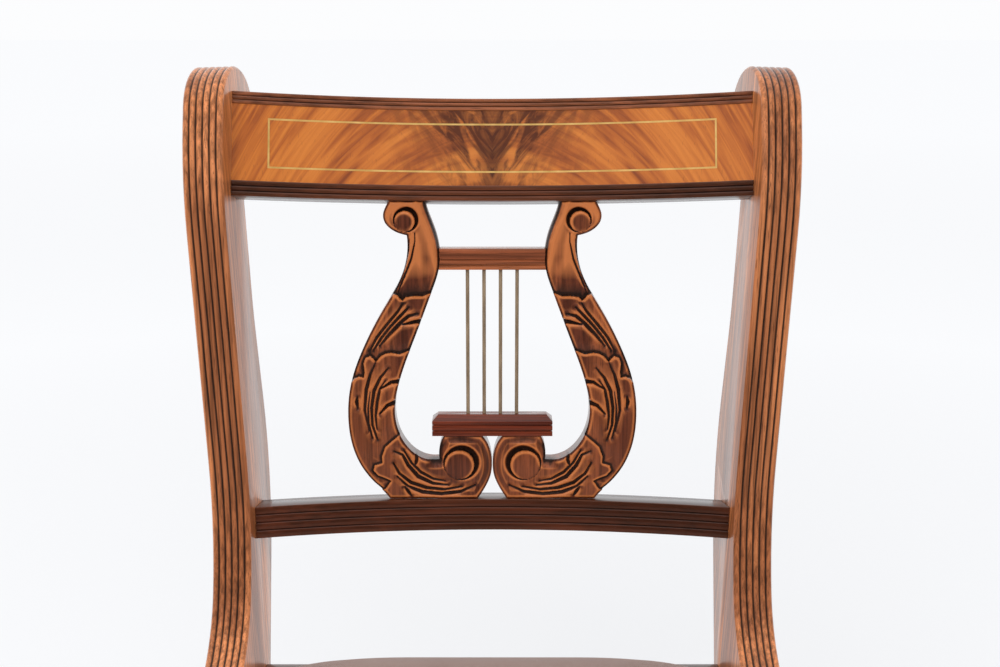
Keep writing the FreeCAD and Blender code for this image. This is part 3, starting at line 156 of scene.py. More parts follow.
# %% Group: wood grain
grain, given, result = new_group(
    "Wood grain",
    [
        ("NodeSocketVector", "Board", None),
        ("NodeSocketColor", "Deep", (0.05, 0.014, 0.007, 1.0)),
        ("NodeSocketColor", "Body", (0.2, 0.062, 0.026, 1.0)),
        ("NodeSocketColor", "Light", (0.42, 0.15, 0.05, 1.0)),
        ("NodeSocketFloat", "Ribbon", 0.5),
    ],
    [("NodeSocketColor", "Color"), ("NodeSocketFloat", "Pores"), ("NodeSocketFloat", "Height")],
)
board = given.outputs["Board"]
broad = noise(grain, stretch(grain, board, (34, 34, 2.2)), 1.0, 3.0, 0.5, 0.4)
fibre = noise(grain, stretch(grain, board, (420, 420, 9)), 1.0, 4.0, 0.6)
pore_noise = noise(grain, stretch(grain, board, (1500, 1500, 55)), 1.0, 2.0, 0.5)
pores = remap(grain, pore_noise, 0.6, 0.72)
tone = math_node(grain, "MULTIPLY", broad, given.outputs["Ribbon"])
spread = remap(grain, tone, 0.2, 0.3)
body_colour = mix(grain, spread, given.outputs["Body"], given.outputs["Light"])
fibre_mask = remap(grain, fibre, 0.36, 0.62, 0.5, 1.15)
shaded = mix(grain, 1.0, body_colour, fibre_mask, "MULTIPLY")
pored = mix(grain, math_node(grain, "MULTIPLY", pores, 0.75), shaded, given.outputs["Deep"])
grain.links.new(pored, result.inputs["Color"])
grain.links.new(pores, result.inputs["Pores"])
grain.links.new(math_node(grain, "SUBTRACT", fibre, pores), result.inputs["Height"])
print("grain group has", len(grain.nodes), "nodes")

# %% [markdown]
# Wax and dirt settle where a surface dips, and hands polish the edges that stand proud. Here the dips
# are darkened with that wax and with painted shade, and proud edges are lightened with wear and a
# painted highlight. The script measures how far each vertex lies below or above its neighbours and
# keeps that as an attribute, so the colour follows the real shape from every side.

# %% Group: wax and painted shade in the hollows, wear and painted highlight on the edges
wax_and_shade, given, result = new_group(
    "Wax and wear",
    [
        ("NodeSocketColor", "Color", (0.2, 0.06, 0.03, 1.0)),
        ("NodeSocketFloat", "Hollow", 0.0),
        ("NodeSocketColor", "Wax and shade", (0.012, 0.005, 0.003, 1.0)),
        ("NodeSocketColor", "Worn and highlight", (0.6, 0.185, 0.05, 1.0)),
        ("NodeSocketFloat", "Wax Amount", 0.92),
        ("NodeSocketFloat", "Wear Amount", 0.45),
    ],
    [("NodeSocketColor", "Color"), ("NodeSocketFloat", "Roughness")],
)
# The near-black colour darkens the dips as wax and painted shade; the pale colour lightens proud edges as wear and
# painted highlight.
sunk = remap(wax_and_shade, given.outputs["Hollow"], 0.04, 0.4)
proud = remap(wax_and_shade, given.outputs["Hollow"], -0.06, -0.5)
worn_and_highlit = mix(
    wax_and_shade, math_node(wax_and_shade, "MULTIPLY", proud, given.outputs["Wear Amount"]), given.outputs["Color"], given.outputs["Worn and highlight"]
)
waxed_and_shaded = mix(wax_and_shade, math_node(wax_and_shade, "MULTIPLY", sunk, given.outputs["Wax Amount"]), worn_and_highlit, given.outputs["Wax and shade"])
wax_and_shade.links.new(waxed_and_shaded, result.inputs["Color"])
wax_and_shade.links.new(remap(wax_and_shade, sunk, 0.0, 1.0, 0.3, 0.62), result.inputs["Roughness"])
print("wax group has", len(wax_and_shade.nodes), "nodes")


# %% [markdown]
# Every finish starts as the same bare material, a shader and an output. Values that are the same all
# over a piece sit on the shader itself.


# %% Bare material
def bare_material(name, **values):
    material = bpy.data.materials.new(name)
    material.use_nodes = True
    shader = material.node_tree.nodes["Principled BSDF"]
    for title, value in values.items():
        shader.inputs[title.replace("_", " ")].default_value = value
    return material, material.node_tree, shader


def place_group(tree, group, **values):
    made = node(tree, "ShaderNodeGroup", node_tree=group)
    for title, value in values.items():
        socket = made.inputs[title.replace("_", " ")]
        if hasattr(value, "links"):
            tree.links.new(value, socket)
        else:
            socket.default_value = (*value, 1.0) if isinstance(value, tuple) and len(value) == 3 else value
    return made


def raise_surface(tree, shader, height, strength, distance):
    bump = node(tree, "ShaderNodeBump")
    bump.inputs["Strength"].default_value = strength
    bump.inputs["Distance"].default_value = distance
    tree.links.new(height, bump.inputs["Height"])
    tree.links.new(bump.outputs["Normal"], shader.inputs["Normal"])


# %% [markdown]
# A board is cut so that its grain runs along the piece. Posts, cross rails and side rails therefore
# need the same wood turned three ways. The cross rails and the lyre are also darker or redder than
# the posts, and the crest's lower bead is painted far darker than its upper bead as painted shade.
# One function makes every kind, so that all share grain, polish, and wax and wear with painted shade
# and highlight.

# %% Mahogany, one material for each grain direction
ALONG_X = (0.0, math.pi / 2, 0.0)
ALONG_Z = (0.0, 0.0, 0.0)
ALONG_Y = (math.pi / 2, 0.0, 0.0)


def mahogany(name, turn, body=(0.36, 0.116, 0.04), light=(0.68, 0.24, 0.085), ribbon=0.5, wear_and_highlight=0.4):
    material, tree, shader = bare_material(name, Coat_Weight=0.8, Coat_Roughness=0.18, Roughness=0.4)
    place = node(tree, "ShaderNodeTexCoord").outputs["Object"]
    wood = place_group(tree, grain, Board=stretch(tree, place, (1, 1, 1), turn), Body=body, Light=light, Ribbon=ribbon)
    # The hollow attribute drives wax with painted shade in the dips and wear with painted highlight on the edges.
    hollow = node(tree, "ShaderNodeAttribute", attribute_name="hollow").outputs["Fac"]
    finish = place_group(tree, wax_and_shade, Color=wood.outputs["Color"], Hollow=hollow, Wear_Amount=wear_and_highlight)
    tree.links.new(finish.outputs["Color"], shader.inputs["Base Color"])
    tree.links.new(finish.outputs["Roughness"], shader.inputs["Roughness"])
    raise_surface(tree, shader, wood.outputs["Height"], 0.12, 0.0004)
    return material


upright_wood = mahogany("mahogany upright", ALONG_Z)
top_bead_wood = mahogany("mahogany upper bead", ALONG_X, body=(0.15, 0.042, 0.016), light=(0.32, 0.095, 0.034))
# Painted shade: the lower bead is a much darker copy of the upper bead's wood.
shaded_bead_wood = mahogany("mahogany lower bead, painted shade", ALONG_X, body=(0.035, 0.008, 0.003), light=(0.1, 0.024, 0.008))
cross_wood = mahogany("mahogany across", ALONG_X, body=(0.032, 0.006, 0.002), light=(0.075, 0.015, 0.005))
side_wood = mahogany("mahogany front to back", ALONG_Y)
carved_wood = mahogany(
    "mahogany carved", ALONG_Z, body=(0.115, 0.027, 0.011), light=(0.27, 0.07, 0.022), ribbon=0.5, wear_and_highlight=0.8
)
yoke_wood = mahogany("mahogany yoke", ALONG_X, body=(0.27, 0.07, 0.025), light=(0.46, 0.14, 0.05))
lyre_bar_wood = mahogany("mahogany lyre bars", ALONG_X, body=(0.1, 0.014, 0.005), light=(0.18, 0.03, 0.01))
print("mahogany materials:", [m.name for m in (upright_wood, cross_wood, side_wood, carved_wood, lyre_bar_wood)])

# %% [markdown]
# The crest is faced with flame mahogany: two leaves cut one after the other and opened like a book,
# so the figure on the right mirrors that on the left. The middle is a dark plume with feathered
# edges. The ends are orange, with streaks that stand steeper the further they are from the joint.
# The pattern is drawn on a map that is laid flat along the bend: its first coordinate runs along the
# crest from the joint between the leaves.

# %% Flame veneer
veneer, tree, shader = bare_material("flame veneer", Coat_Weight=1.0, Coat_Roughness=0.14, Roughness=0.38)
STEEPENING = 3.9
flat_map = node(tree, "ShaderNodeUVMap", uv_map="figure")
parts = node(tree, "ShaderNodeSeparateXYZ")
tree.links.new(flat_map.outputs["UV"], parts.inputs["Vector"])
from_joint = math_node(tree, "ABSOLUTE", parts.outputs["X"])
height = parts.outputs["Y"]
leaf = node(tree, "ShaderNodeCombineXYZ")
tree.links.new(from_joint, leaf.inputs["X"])
tree.links.new(height, leaf.inputs["Y"])
leaf_map = leaf.outputs["Vector"]
wander = noise(tree, stretch(tree, leaf_map, (26, 34, 1)), 1.0, 3.0, 0.5)
waver = math_node(tree, "MULTIPLY", math_node(tree, "SUBTRACT", wander, 0.5), 0.06)
rise = math_node(tree, "MULTIPLY", height, 0.42)
reach = math_node(tree, "ADD", math_node(tree, "SUBTRACT", from_joint, rise), waver)
plume = remap(tree, reach, 0.082, 0.03, 0.0, 1.0)
core = remap(tree, from_joint, 0.013, 0.004, 0.0, 1.0)
feather_map = stretch(tree, stretch(tree, leaf_map, (1, 1, 1), (0, 0, math.radians(34))), (105, 30, 1))
feather = noise(tree, feather_map, 1.0, 4.0, 0.6, 1.2)
squared = math_node(tree, "MULTIPLY", from_joint, from_joint)
sweep = math_node(tree, "ADD", height, math_node(tree, "MULTIPLY", squared, STEEPENING))
swept = node(tree, "ShaderNodeCombineXYZ")
tree.links.new(from_joint, swept.inputs["X"])
tree.links.new(sweep, swept.inputs["Y"])
swept_map = swept.outputs["Vector"]
slant = noise(tree, stretch(tree, swept_map, (16, 130, 1)), 1.0, 4.0, 0.6, 0.8)
cloud = noise(tree, stretch(tree, swept_map, (9, 40, 1)), 1.0, 3.0, 0.5, 0.6)
ground = ramp(
    tree,
    math_node(tree, "ADD", math_node(tree, "MULTIPLY", slant, 0.55), math_node(tree, "MULTIPLY", cloud, 0.45)),
    [
        (0.34, (0.22, 0.046, 0.009)),
        (0.44, (0.4, 0.098, 0.011)),
        (0.53, (0.53, 0.15, 0.016)),
        (0.68, (0.66, 0.215, 0.028)),
    ],
)
dark_amount = math_node(tree, "MULTIPLY", plume, remap(tree, feather, 0.42, 0.6, 0.95, 0.12), clamp=True)
plumed = mix(tree, dark_amount, ground, (0.08, 0.018, 0.006))
cored = mix(tree, math_node(tree, "MULTIPLY", core, 0.55), plumed, (0.06, 0.014, 0.006))
pore_mask = remap(tree, noise(tree, stretch(tree, leaf_map, (900, 200, 1)), 1.0, 2.0), 0.62, 0.74)
pored = mix(tree, math_node(tree, "MULTIPLY", pore_mask, 0.4), cored, (0.12, 0.035, 0.01))
tree.links.new(pored, shader.inputs["Base Color"])
raise_surface(tree, shader, slant, 0.05, 0.0003)
print("veneer material has", len(tree.nodes), "nodes")


# %% [markdown]
# Brass, beech, jute, hair, calico and velvet. Brass strings dull to a brown-grey with brighter rubbed
# streaks. The velvet is a mauve taupe: its pile scatters light at the edges, which sheen gives, and
# its tone drifts where the pile has been stroked.


# %% Plain finishes
def speckled(name, colours, scale, roughness, bump, **values):
    material, tree, shader = bare_material(name, Roughness=roughness, **values)
    place = node(tree, "ShaderNodeTexCoord").outputs["Object"]
    value = noise(tree, stretch(tree, place, scale), 1.0, 5.0, 0.6)
    low, high = colours
    tree.links.new(ramp(tree, value, [(0.32, low), (0.68, high)]), shader.inputs["Base Color"])
    raise_surface(tree, shader, value, bump[0], bump[1])
    return material


brass = speckled(
    "old brass", ((0.22, 0.155, 0.1), (0.42, 0.31, 0.2)), (500, 500, 60), 0.42, (0.1, 0.0002), Metallic=0.3
)
inlay_brass = speckled(
    "inlaid brass", ((0.5, 0.3, 0.08), (0.72, 0.47, 0.16)), (90, 90, 90), 0.35, (0.08, 0.0002), Metallic=0.25
)
beech = speckled("beech", ((0.5, 0.33, 0.19), (0.68, 0.5, 0.32)), (60, 9, 60), 0.6, (0.2, 0.0005))
hair = speckled("curled hair", ((0.06, 0.045, 0.035), (0.2, 0.16, 0.12)), (400, 400, 400), 0.95, (0.8, 0.002))
calico = speckled("calico", ((0.6, 0.54, 0.43), (0.7, 0.65, 0.54)), (900, 900, 900), 0.9, (0.3, 0.0005))
velvet, tree, shader = bare_material("velvet", Roughness=0.9, Sheen_Weight=0.35, Sheen_Roughness=0.4)
shader.inputs["Sheen Tint"].default_value = (0.9, 0.8, 0.76, 1.0)
place = node(tree, "ShaderNodeTexCoord").outputs["Object"]
stroke = noise(tree, stretch(tree, place, (9, 16, 9)), 1.0, 4.0, 0.6)
pile = noise(tree, place, 1600.0, 2.0, 0.6)
tuft = noise(tree, place, 260.0, 3.0, 0.7)
stroked = ramp(tree, stroke, [(0.3, (0.26, 0.155, 0.128)), (0.7, (0.345, 0.22, 0.182))])
flecked = mix(tree, remap(tree, pile, 0.35, 0.65, 0.0, 0.45), stroked, (0.13, 0.08, 0.07))
mottled = mix(tree, remap(tree, tuft, 0.4, 0.7, 0.0, 0.35), flecked, (0.33, 0.235, 0.205))
tree.links.new(mottled, shader.inputs["Base Color"])
raise_surface(tree, shader, pile, 0.5, 0.0008)
print("velvet material has", len(tree.nodes), "nodes")

# %% [markdown]
# Jute webbing is a plain weave of thick flat yarns. Two wave patterns at right angles, multiplied,
# give the rows of small raised squares.

# %% Jute
jute, tree, shader = bare_material("jute webbing", Roughness=0.95)
place = node(tree, "ShaderNodeTexCoord").outputs["Object"]
rows = node(tree, "ShaderNodeTexWave", bands_direction="X")
columns = node(tree, "ShaderNodeTexWave", bands_direction="Y")
for wave in (rows, columns):
    wave.inputs["Scale"].default_value = 110.0
    wave.inputs["Distortion"].default_value = 0.6
    tree.links.new(place, wave.inputs["Vector"])
weave = math_node(tree, "MULTIPLY", rows.outputs["Fac"], columns.outputs["Fac"])
tree.links.new(ramp(tree, weave, [(0.1, (0.22, 0.15, 0.08)), (0.8, (0.55, 0.42, 0.26))]), shader.inputs["Base Color"])
raise_surface(tree, shader, weave, 0.6, 0.001)
print("finishes:", len(bpy.data.materials))


# %% [markdown]
# A reeded board is cut with sharp tools and then sanded and polished, so no edge stays sharp. The
# solid's triangles are copied and merged, a small bevel rounds each edge, and the depth of every
# vertex against its neighbours is kept for the wax and the painted shade.


# %% Copy a solid
SAME_PLACE = 0.00001
FLAT_WITHIN = math.radians(0.4)
ROUNDED_FROM = math.radians(26)
SHARP_FROM = math.radians(38)
ROUNDING = 0.0006
DIP_REACH = 0.0012
DIP_GAIN = 4.0
PROUD_SHARE = 0.35


def merged_copy(name):
    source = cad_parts[name]
    mesh = source.data.copy()
    work = bmesh.new()
    work.from_mesh(mesh)
    bmesh.ops.remove_doubles(work, verts=work.verts, dist=SAME_PLACE)
    bmesh.ops.dissolve_limit(work, angle_limit=FLAT_WITHIN, verts=work.verts, edges=work.edges)
    work.to_mesh(mesh)
    work.free()
    mesh.materials.clear()
    made = bpy.data.objects.new(name + "_dressed", mesh)
    bpy.context.scene.collection.objects.link(made)
    return made


def apply_modifiers(obj):
    shaped = bpy.data.meshes.new_from_object(obj.evaluated_get(bpy.context.evaluated_depsgraph_get()))
    obj.modifiers.clear()
    obj.data = shaped


# %% [markdown]
# Wax gathers where a surface dips below what is around it, and the same dips carry painted shade.
# Shading alone shows that from some sides only, so the dip is measured on the mesh: each vertex is
# compared with its neighbours along its own normal. The result stays on the mesh as an attribute that
# the material reads.

# %% Find the hollows
def neighbour_dip(mesh, reach):
    """How far each vertex lies below (+) or above (-) its neighbours, as a share of the reach."""
    count = len(mesh.vertices)
    place = np.empty(count * 3)
    mesh.vertices.foreach_get("co", place)
    place = place.reshape(-1, 3)
    normal = np.empty(count * 3)
    mesh.vertices.foreach_get("normal", normal)
    normal = normal.reshape(-1, 3)
    edges = np.empty(len(mesh.edges) * 2, dtype=np.int64)
    mesh.edges.foreach_get("vertices", edges)
    edges = edges.reshape(-1, 2)
    span = place[edges[:, 1]] - place[edges[:, 0]]
    length = np.linalg.norm(span, axis=1)
    weight = 1.0 / np.maximum(length, 0.0002)
    near = np.clip(length / reach, 0, 1)
    total = np.zeros(count)
    dip = np.zeros(count)
    for here, there, sign in ((0, 1, 1.0), (1, 0, -1.0)):
        lift = sign * np.einsum("ij,ij->i", span, normal[edges[:, here]]) / np.maximum(length, 1e-9)
        np.add.at(dip, edges[:, here], lift * weight * near)
        np.add.at(total, edges[:, here], weight)
    return dip / np.maximum(total, 1e-9)


def keep_hollow(mesh, values):
    field = mesh.attributes.new("hollow", "FLOAT", "POINT")
    field.data.foreach_set("value", values.astype(np.float32))


# %% [markdown]
# Real edges are never knife sharp: scraper and polish round them by about half a millimetre. The
# bevel takes only edges that turn by more than 26 degrees, so that curves made of facets stay
# smooth, and the reeds turn from chamfered strips into round ones.

# %% Dress one piece
def dress(name, material, body, width=ROUNDING, segments=2):
    made = merged_copy(name)
    if width:
        bevel = made.modifiers.new("rounded edges", "BEVEL")
        bevel.width = width
        bevel.segments = segments
        bevel.limit_method = "ANGLE"
        bevel.angle_limit = ROUNDED_FROM
        bevel.use_clamp_overlap = True
        apply_modifiers(made)
    made.data.materials.clear()
    made.data.materials.append(material)
    made.data.shade_smooth()
    made.data.set_sharp_from_angle(angle=SHARP_FROM)
    # Painted shade in the dips and painted highlight on proud edges come from this dip, together with wax and wear.
    dip = neighbour_dip(made.data, DIP_REACH) * DIP_GAIN
    keep_hollow(made.data, np.where(dip < 0, dip * PROUD_SHARE, dip))
    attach(made, body)
    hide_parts(name)
    return made


# %% [markdown]
# Now every solid gets its finish. A table says which wood goes on which piece of the frame, the glue
# blocks and the slip seat's frame are beech, and the rest of the seat is jute, hair and calico.

# %% Dress the solid pieces
FRAME_PIECES = {
    upright_wood: ["right_back_post", "left_back_post", "right_front_leg", "left_front_leg"],
    side_wood: ["right_side_rail", "left_side_rail"],
    cross_wood: ["front_seat_rail", "rear_seat_rail", "crest_rail", "stay_rail"],
    top_bead_wood: ["crest_top_bead"],
    shaded_bead_wood: ["crest_bottom_bead"],
    yoke_wood: ["lyre_yoke"],
    lyre_bar_wood: ["lyre_plinth"],
}
for material, names in FRAME_PIECES.items():
    for name in names:
        made = dress(name, material, "chair_frame")
        print(name, len(made.data.polygons), "faces")
for name in (
    "right_front_corner_block", "left_front_corner_block", "right_rear_corner_block", "left_rear_corner_block",
    "right_seat_bearer", "left_seat_bearer",
):
    dress(name, beech, "chair_frame", 0.001)
for name in ("seat_front_slat", "seat_rear_slat", "seat_right_slat", "seat_left_slat"):
    dress(name, beech, "slip_seat", 0.001)
for name in ("webbing_lengthwise", "webbing_crosswise"):
    dress(name, jute, "slip_seat", 0.0)
stuffing = dress("seat_pad", hair, "slip_seat", 0.0)
dress("dust_cover", calico, "slip_seat", 0.0)
dress("brass_inlay", inlay_brass, "chair_frame", 0.0)
veneer_panel = dress("crest_veneer", veneer, "chair_frame", 0.0)

# %% [markdown]
# The veneer's figure needs a flat map. The crest bends along a long arc, so the way along it is the
# angle about the arc's centre times its radius, and the second coordinate is the height.

# %% Flat map for the veneer
CREST_CENTRE_Y = -0.45032
CREST_RADIUS = 0.72387
figure = veneer_panel.data.uv_layers.new(name="figure")
low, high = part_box("crest_veneer")
middle_height = (low[2] + high[2]) / 2
for loop in veneer_panel.data.loops:
    corner = veneer_panel.data.vertices[loop.vertex_index].co
    along = math.atan2(corner.x, corner.y - CREST_CENTRE_Y) * CREST_RADIUS
    figure.data[loop.index].uv = (along, corner.z - middle_height)
turned = []
for face in veneer_panel.data.polygons:
    for index in face.loop_indices:
        spot = veneer_panel.data.vertices[veneer_panel.data.loops[index].vertex_index].co
        outward = Vector((spot.x, spot.y - CREST_CENTRE_Y, 0.0)).normalized()
        normal = face.normal.copy()
        if normal.y < -0.8:
            level = math.hypot(normal.x, normal.y)
            normal = Vector((-outward.x * level, -outward.y * level, normal.z))
        turned.append(normal)
veneer_panel.data.normals_split_custom_set(turned)
print("veneer runs", round(high[0] - low[0], 4), "m across")

# %% [markdown]
# Pieces that repeat are made by Geometry Nodes. Each tool is a tree with named inputs. It is run on
# an empty mesh, and the result is kept as a plain mesh, so that nothing is left to be worked out.


# %% Tools made of nodes
def node_tool(name, inputs):
    tree = bpy.data.node_groups.new(name, "GeometryNodeTree")
    tree.interface.new_socket("Geometry", in_out="INPUT", socket_type="NodeSocketGeometry")
    for kind, title, value in inputs:
        socket = tree.interface.new_socket(title, in_out="INPUT", socket_type=kind)
        socket.default_value = value
    tree.interface.new_socket("Geometry", in_out="OUTPUT", socket_type="NodeSocketGeometry")
    return tree, node(tree, "NodeGroupInput"), node(tree, "NodeGroupOutput")


def run_tool(tree, name, values, base=None):
    mesh = base if base else bpy.data.meshes.new(name)
    holder = bpy.data.objects.new(name, mesh)
    bpy.context.scene.collection.objects.link(holder)
    modifier = holder.modifiers.new("made by nodes", "NODES")
    modifier.node_group = tree
    for item in tree.interface.items_tree:
        if item.in_out == "INPUT" and item.name in values:
            modifier[item.identifier] = values[item.name]
    apply_modifiers(holder)
    return holder


def finish_tool(tree, result, geometry_socket, material):
    real = node(tree, "GeometryNodeRealizeInstances")
    paint = node(tree, "GeometryNodeSetMaterial")
    paint.inputs["Material"].default_value = material
    tree.links.new(geometry_socket, real.inputs["Geometry"])
    tree.links.new(real.outputs["Geometry"], paint.inputs["Geometry"])
    tree.links.new(paint.outputs["Geometry"], result.inputs["Geometry"])


# %% [markdown]
# The four brass strings are the same rod set side by side. Four cylinders could be copied by hand,
# but a line of points with a rod on each keeps them even. Their sizes are read from the solids. They
# lean back with the lyre, and stand in sockets in the plinth and the yoke.

# %% Strings
string_tool, given, result = node_tool(
    "Row of rods",
    [
        ("NodeSocketInt", "Count", 4),
        ("NodeSocketVector", "First", (0.0, 0.0, 0.0)),
        ("NodeSocketVector", "Step", (0.012, 0.0, 0.0)),
        ("NodeSocketFloat", "Length", 0.1),
        ("NodeSocketFloat", "Radius", 0.001),
        ("NodeSocketVector", "Lean", (0.0, 0.0, 0.0)),
    ],
)
line = node(string_tool, "GeometryNodeMeshLine", mode="OFFSET")
rod = node(string_tool, "GeometryNodeMeshCylinder")
rod.inputs["Vertices"].default_value = 20
place_rods = node(string_tool, "GeometryNodeInstanceOnPoints")
for source, target in (
    ("Count", line.inputs["Count"]),
    ("First", line.inputs["Start Location"]),
    ("Step", line.inputs["Offset"]),
    ("Length", rod.inputs["Depth"]),
    ("Radius", rod.inputs["Radius"]),
    ("Lean", place_rods.inputs["Rotation"]),
):
    string_tool.links.new(given.outputs[source], target)
string_tool.links.new(line.outputs["Mesh"], place_rods.inputs["Points"])
string_tool.links.new(rod.outputs["Mesh"], place_rods.inputs["Instance"])
finish_tool(string_tool, result, place_rods.outputs["Instances"], brass)
STRING_NAMES = [f"lyre_string_{number}" for number in range(1, 5)]
boxes = [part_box(name) for name in STRING_NAMES]
centres = [[(low[axis] + high[axis]) / 2 for axis in range(3)] for low, high in boxes]
low, high = boxes[0]
string_radius = (high[0] - low[0]) / 2
string_length = high[2] - low[2]
lean = math.atan2((high[1] - low[1]) - 2 * string_radius, string_length)
strings = run_tool(
    string_tool,
    "strings",
    {
        "Count": 4,
        "First": centres[0],
        "Step": [(centres[3][axis] - centres[0][axis]) / 3 for axis in range(3)],
        "Length": string_length - 0.0001,
        "Radius": string_radius * 0.99,
        "Lean": [-lean, 0.0, 0.0],
    },
)
strings.data.shade_smooth()
strings.data.set_sharp_from_angle(angle=math.radians(40))
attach(strings, "chair_frame")
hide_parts(*STRING_NAMES)
print("strings", round(string_length, 4), "m long, radius", round(string_radius, 5))

# %% [markdown]
# The lyre's arms are carved. A carver works on a sawn plank: the outline is fixed, and only the front
# is cut away. So the outline is read from the solid, its inside is filled with a fine even net of
# points, and each point is pushed back by the depth of the carving there. Depths come from a few
# rules, in millimetres on the lyre's own plane: u outwards from the middle, v up from the foot.
#
# - Three overlapping leaves: each one starts proud at its lobed tip and sinks under the next.
# - Veins and grooves: soft channels that taper to nothing at both ends.
# - Notches: short deep cuts from the inner edge, as between the fingers of a leaf.
# - Volutes: a round eye, a crescent cut beside it, and facets that fall away to the edge.

# %% Lines of the carving
FOOT = Vector((0.0, 216.689, 558.231))
FORWARD = Vector((0.0, -0.99978, 0.0208))
UPWARD = Vector((0.0, 0.0208, 0.99978))
HALF_PLANK = 7.75
LEAF_TIPS = [
    [(84.0, 153.0), (77.8, 157.6), (73.4, 161.1), (70.6, 160.3), (68.3, 157.6), (66.5, 156.3), (64.4, 158.9),
     (57.8, 159.8), (51.6, 159.7), (43.5, 162.8), (36.0, 166.0)],
    [(112.0, 90.0), (106.2, 93.7), (103.8, 96.2), (100.6, 97.8), (96.7, 97.4), (96.1, 101.4), (96.7, 108.5),
     (95.0, 112.5), (91.6, 113.8), (89.2, 111.7), (87.4, 109.3), (83.7, 113.7), (80.2, 115.6), (75.8, 116.4),
     (69.5, 115.3), (60.6, 118.7), (52.0, 122.0)],
    [(100.0, 6.0), (82.2, 8.4), (77.6, 15.2), (82.0, 17.4), (87.5, 19.5), (91.1, 23.7), (89.9, 27.6),
     (84.1, 29.6), (84.3, 35.0), (81.6, 42.3), (76.7, 46.8), (69.5, 52.8), (62.0, 60.0)],
]
SINK = [(3.3, 15.0), (2.7, 9.0), (2.1, 6.0)]
VEINS = [
    (1.4, 0.9, [(66.5, 154.4), (70.2, 148.0), (78.5, 137.6), (86.2, 127.9), (91.5, 118.2)]),
    (1.6, 1.2, [(62.3, 151.2), (68.2, 144.8), (76.2, 136.0), (82.6, 127.9), (89.1, 118.2)]),
    (1.7, 1.2, [(55.7, 146.4), (62.4, 144.5), (70.4, 137.6), (77.4, 130.3), (84.3, 121.5)]),
    (1.3, 0.8, [(87.7, 108.5), (91.9, 99.5), (95.0, 88.0), (96.4, 71.5), (93.6, 54.8)]),
    (1.5, 1.2, [(78.3, 104.4), (84.3, 97.0), (89.3, 86.3), (91.5, 73.1), (91.1, 59.8), (87.4, 48.1)]),
    (1.3, 0.9, [(80.6, 94.6), (85.0, 88.0), (87.2, 78.1), (88.6, 66.5), (87.7, 56.5)]),
    (1.2, 0.8, [(92.2, 85.5), (94.0, 73.1), (94.0, 61.5), (91.3, 49.8)]),
    (1.5, 1.3, [(74.7, 38.9), (68.4, 36.0), (64.2, 27.6), (56.6, 18.6), (45.3, 13.0), (34.1, 11.8)]),
    (1.5, 1.3, [(75.7, 29.6), (71.0, 20.8), (62.3, 13.5), (50.2, 9.2), (36.5, 7.9), (23.6, 10.6)]),
    (1.5, 1.2, [(72.7, 18.6), (64.7, 10.6), (53.5, 6.2), (39.0, 4.5), (24.4, 6.5), (13.1, 11.8)]),
    (1.3, 1.0, [(67.5, 39.7), (62.0, 29.6), (54.9, 22.0), (45.3, 16.7), (36.5, 15.2)]),
    (1.2, 1.0, [(58.2, 38.1), (57.7, 32.2), (59.7, 26.2)]),
    (1.2, 1.2, [(101.8, 82.2), (102.5, 78.1), (101.8, 73.1)]),
    (1.2, 1.1, [(67.2, 10.6), (64.8, 7.2), (62.4, 3.3)]),
]
NOTCHES = [
    (2.6, 3.4, [(49.0, 140.6), (57.3, 140.0), (66.7, 138.1)]),
    (2.3, 3.0, [(67.0, 94.2), (76.2, 93.4), (84.2, 88.3)]),
    (2.4, 3.2, [(71.0, 78.4), (79.4, 75.1), (85.5, 68.5)]),
]
STEM_CHANNELS = [
    (1.3, 1.5, [(56.9, 207.1), (57.0, 200.1), (59.8, 187.6), (65.1, 174.2), (69.9, 162.8)]),
    (1.1, 1.1, [(60.9, 202.5), (61.7, 193.9), (65.0, 181.3), (69.3, 171.9), (73.4, 163.1)]),
]
STEM_RIDGE = [(56.5, 232.0), (53.2, 220.3), (48.7, 210.2), (45.2, 200.1), (43.2, 187.6), (42.0, 178.0)]
EYES = [((64.3, 215.5), 7.4, 125.0), ((25.2, 27.9), 11.1, 128.0)]
print("drawn:", len(LEAF_TIPS), "leaf edges,", len(VEINS), "veins,", len(NOTCHES), "notches,", len(EYES), "eyes")


# %% [markdown]
# A carver works by lines: how far is the gouge from this vein, and on which side of it? So the first
# helpers give, for many points at once, the distance from a drawn line, the side, the share of its
# length, and whether a point lies inside a loop.

# %% Distances on the plank
def along_line(points, line):
    """Distance of each point from a line, which side it is on, and how far along the line it is (0 to 1)."""
    line = np.array(line)
    steps = np.linalg.norm(np.diff(line, axis=0), axis=1)
    total = steps.sum()
    best = np.full(len(points), 1e9)
    side = np.ones(len(points))
    share = np.zeros(len(points))
    walked = 0.0
    for start, end, step in zip(line[:-1], line[1:], steps):
        run = end - start
        offset = points - start
        place = np.clip(offset @ run / (step * step), 0, 1)
        gap = np.linalg.norm(offset - place[:, None] * run, axis=1)
        nearer = gap < best
        cross = run[0] * offset[:, 1] - run[1] * offset[:, 0]
        best[nearer] = gap[nearer]
        side[nearer] = np.sign(cross[nearer])
        share[nearer] = ((walked + place * step) / total)[nearer]
        walked += step
    return best, side, share


def inside(points, loop):
    hit = np.zeros(len(points), dtype=bool)
    for (x1, y1), (x2, y2) in zip(loop, np.roll(loop, -1, axis=0)):
        if y1 == y2:
            continue
        crosses = (y1 > points[:, 1]) != (y2 > points[:, 1])
        at = (x2 - x1) * (points[:, 1] - y1) / (y2 - y1) + x1
        hit ^= crosses & (points[:, 0] < at)
    return hit


def ease(value):
    value = np.clip(value, 0, 1)
    return value * value * (3 - 2 * value)


def channel(points, lines, shape):
    depth = np.zeros(len(points))
    for width, deep, line in lines:
        gap, _, share = along_line(points, line)
        depth = np.maximum(depth, deep * ease(1.25 * (1 - gap / (width * shape(share)))) * shape(share))
    return depth


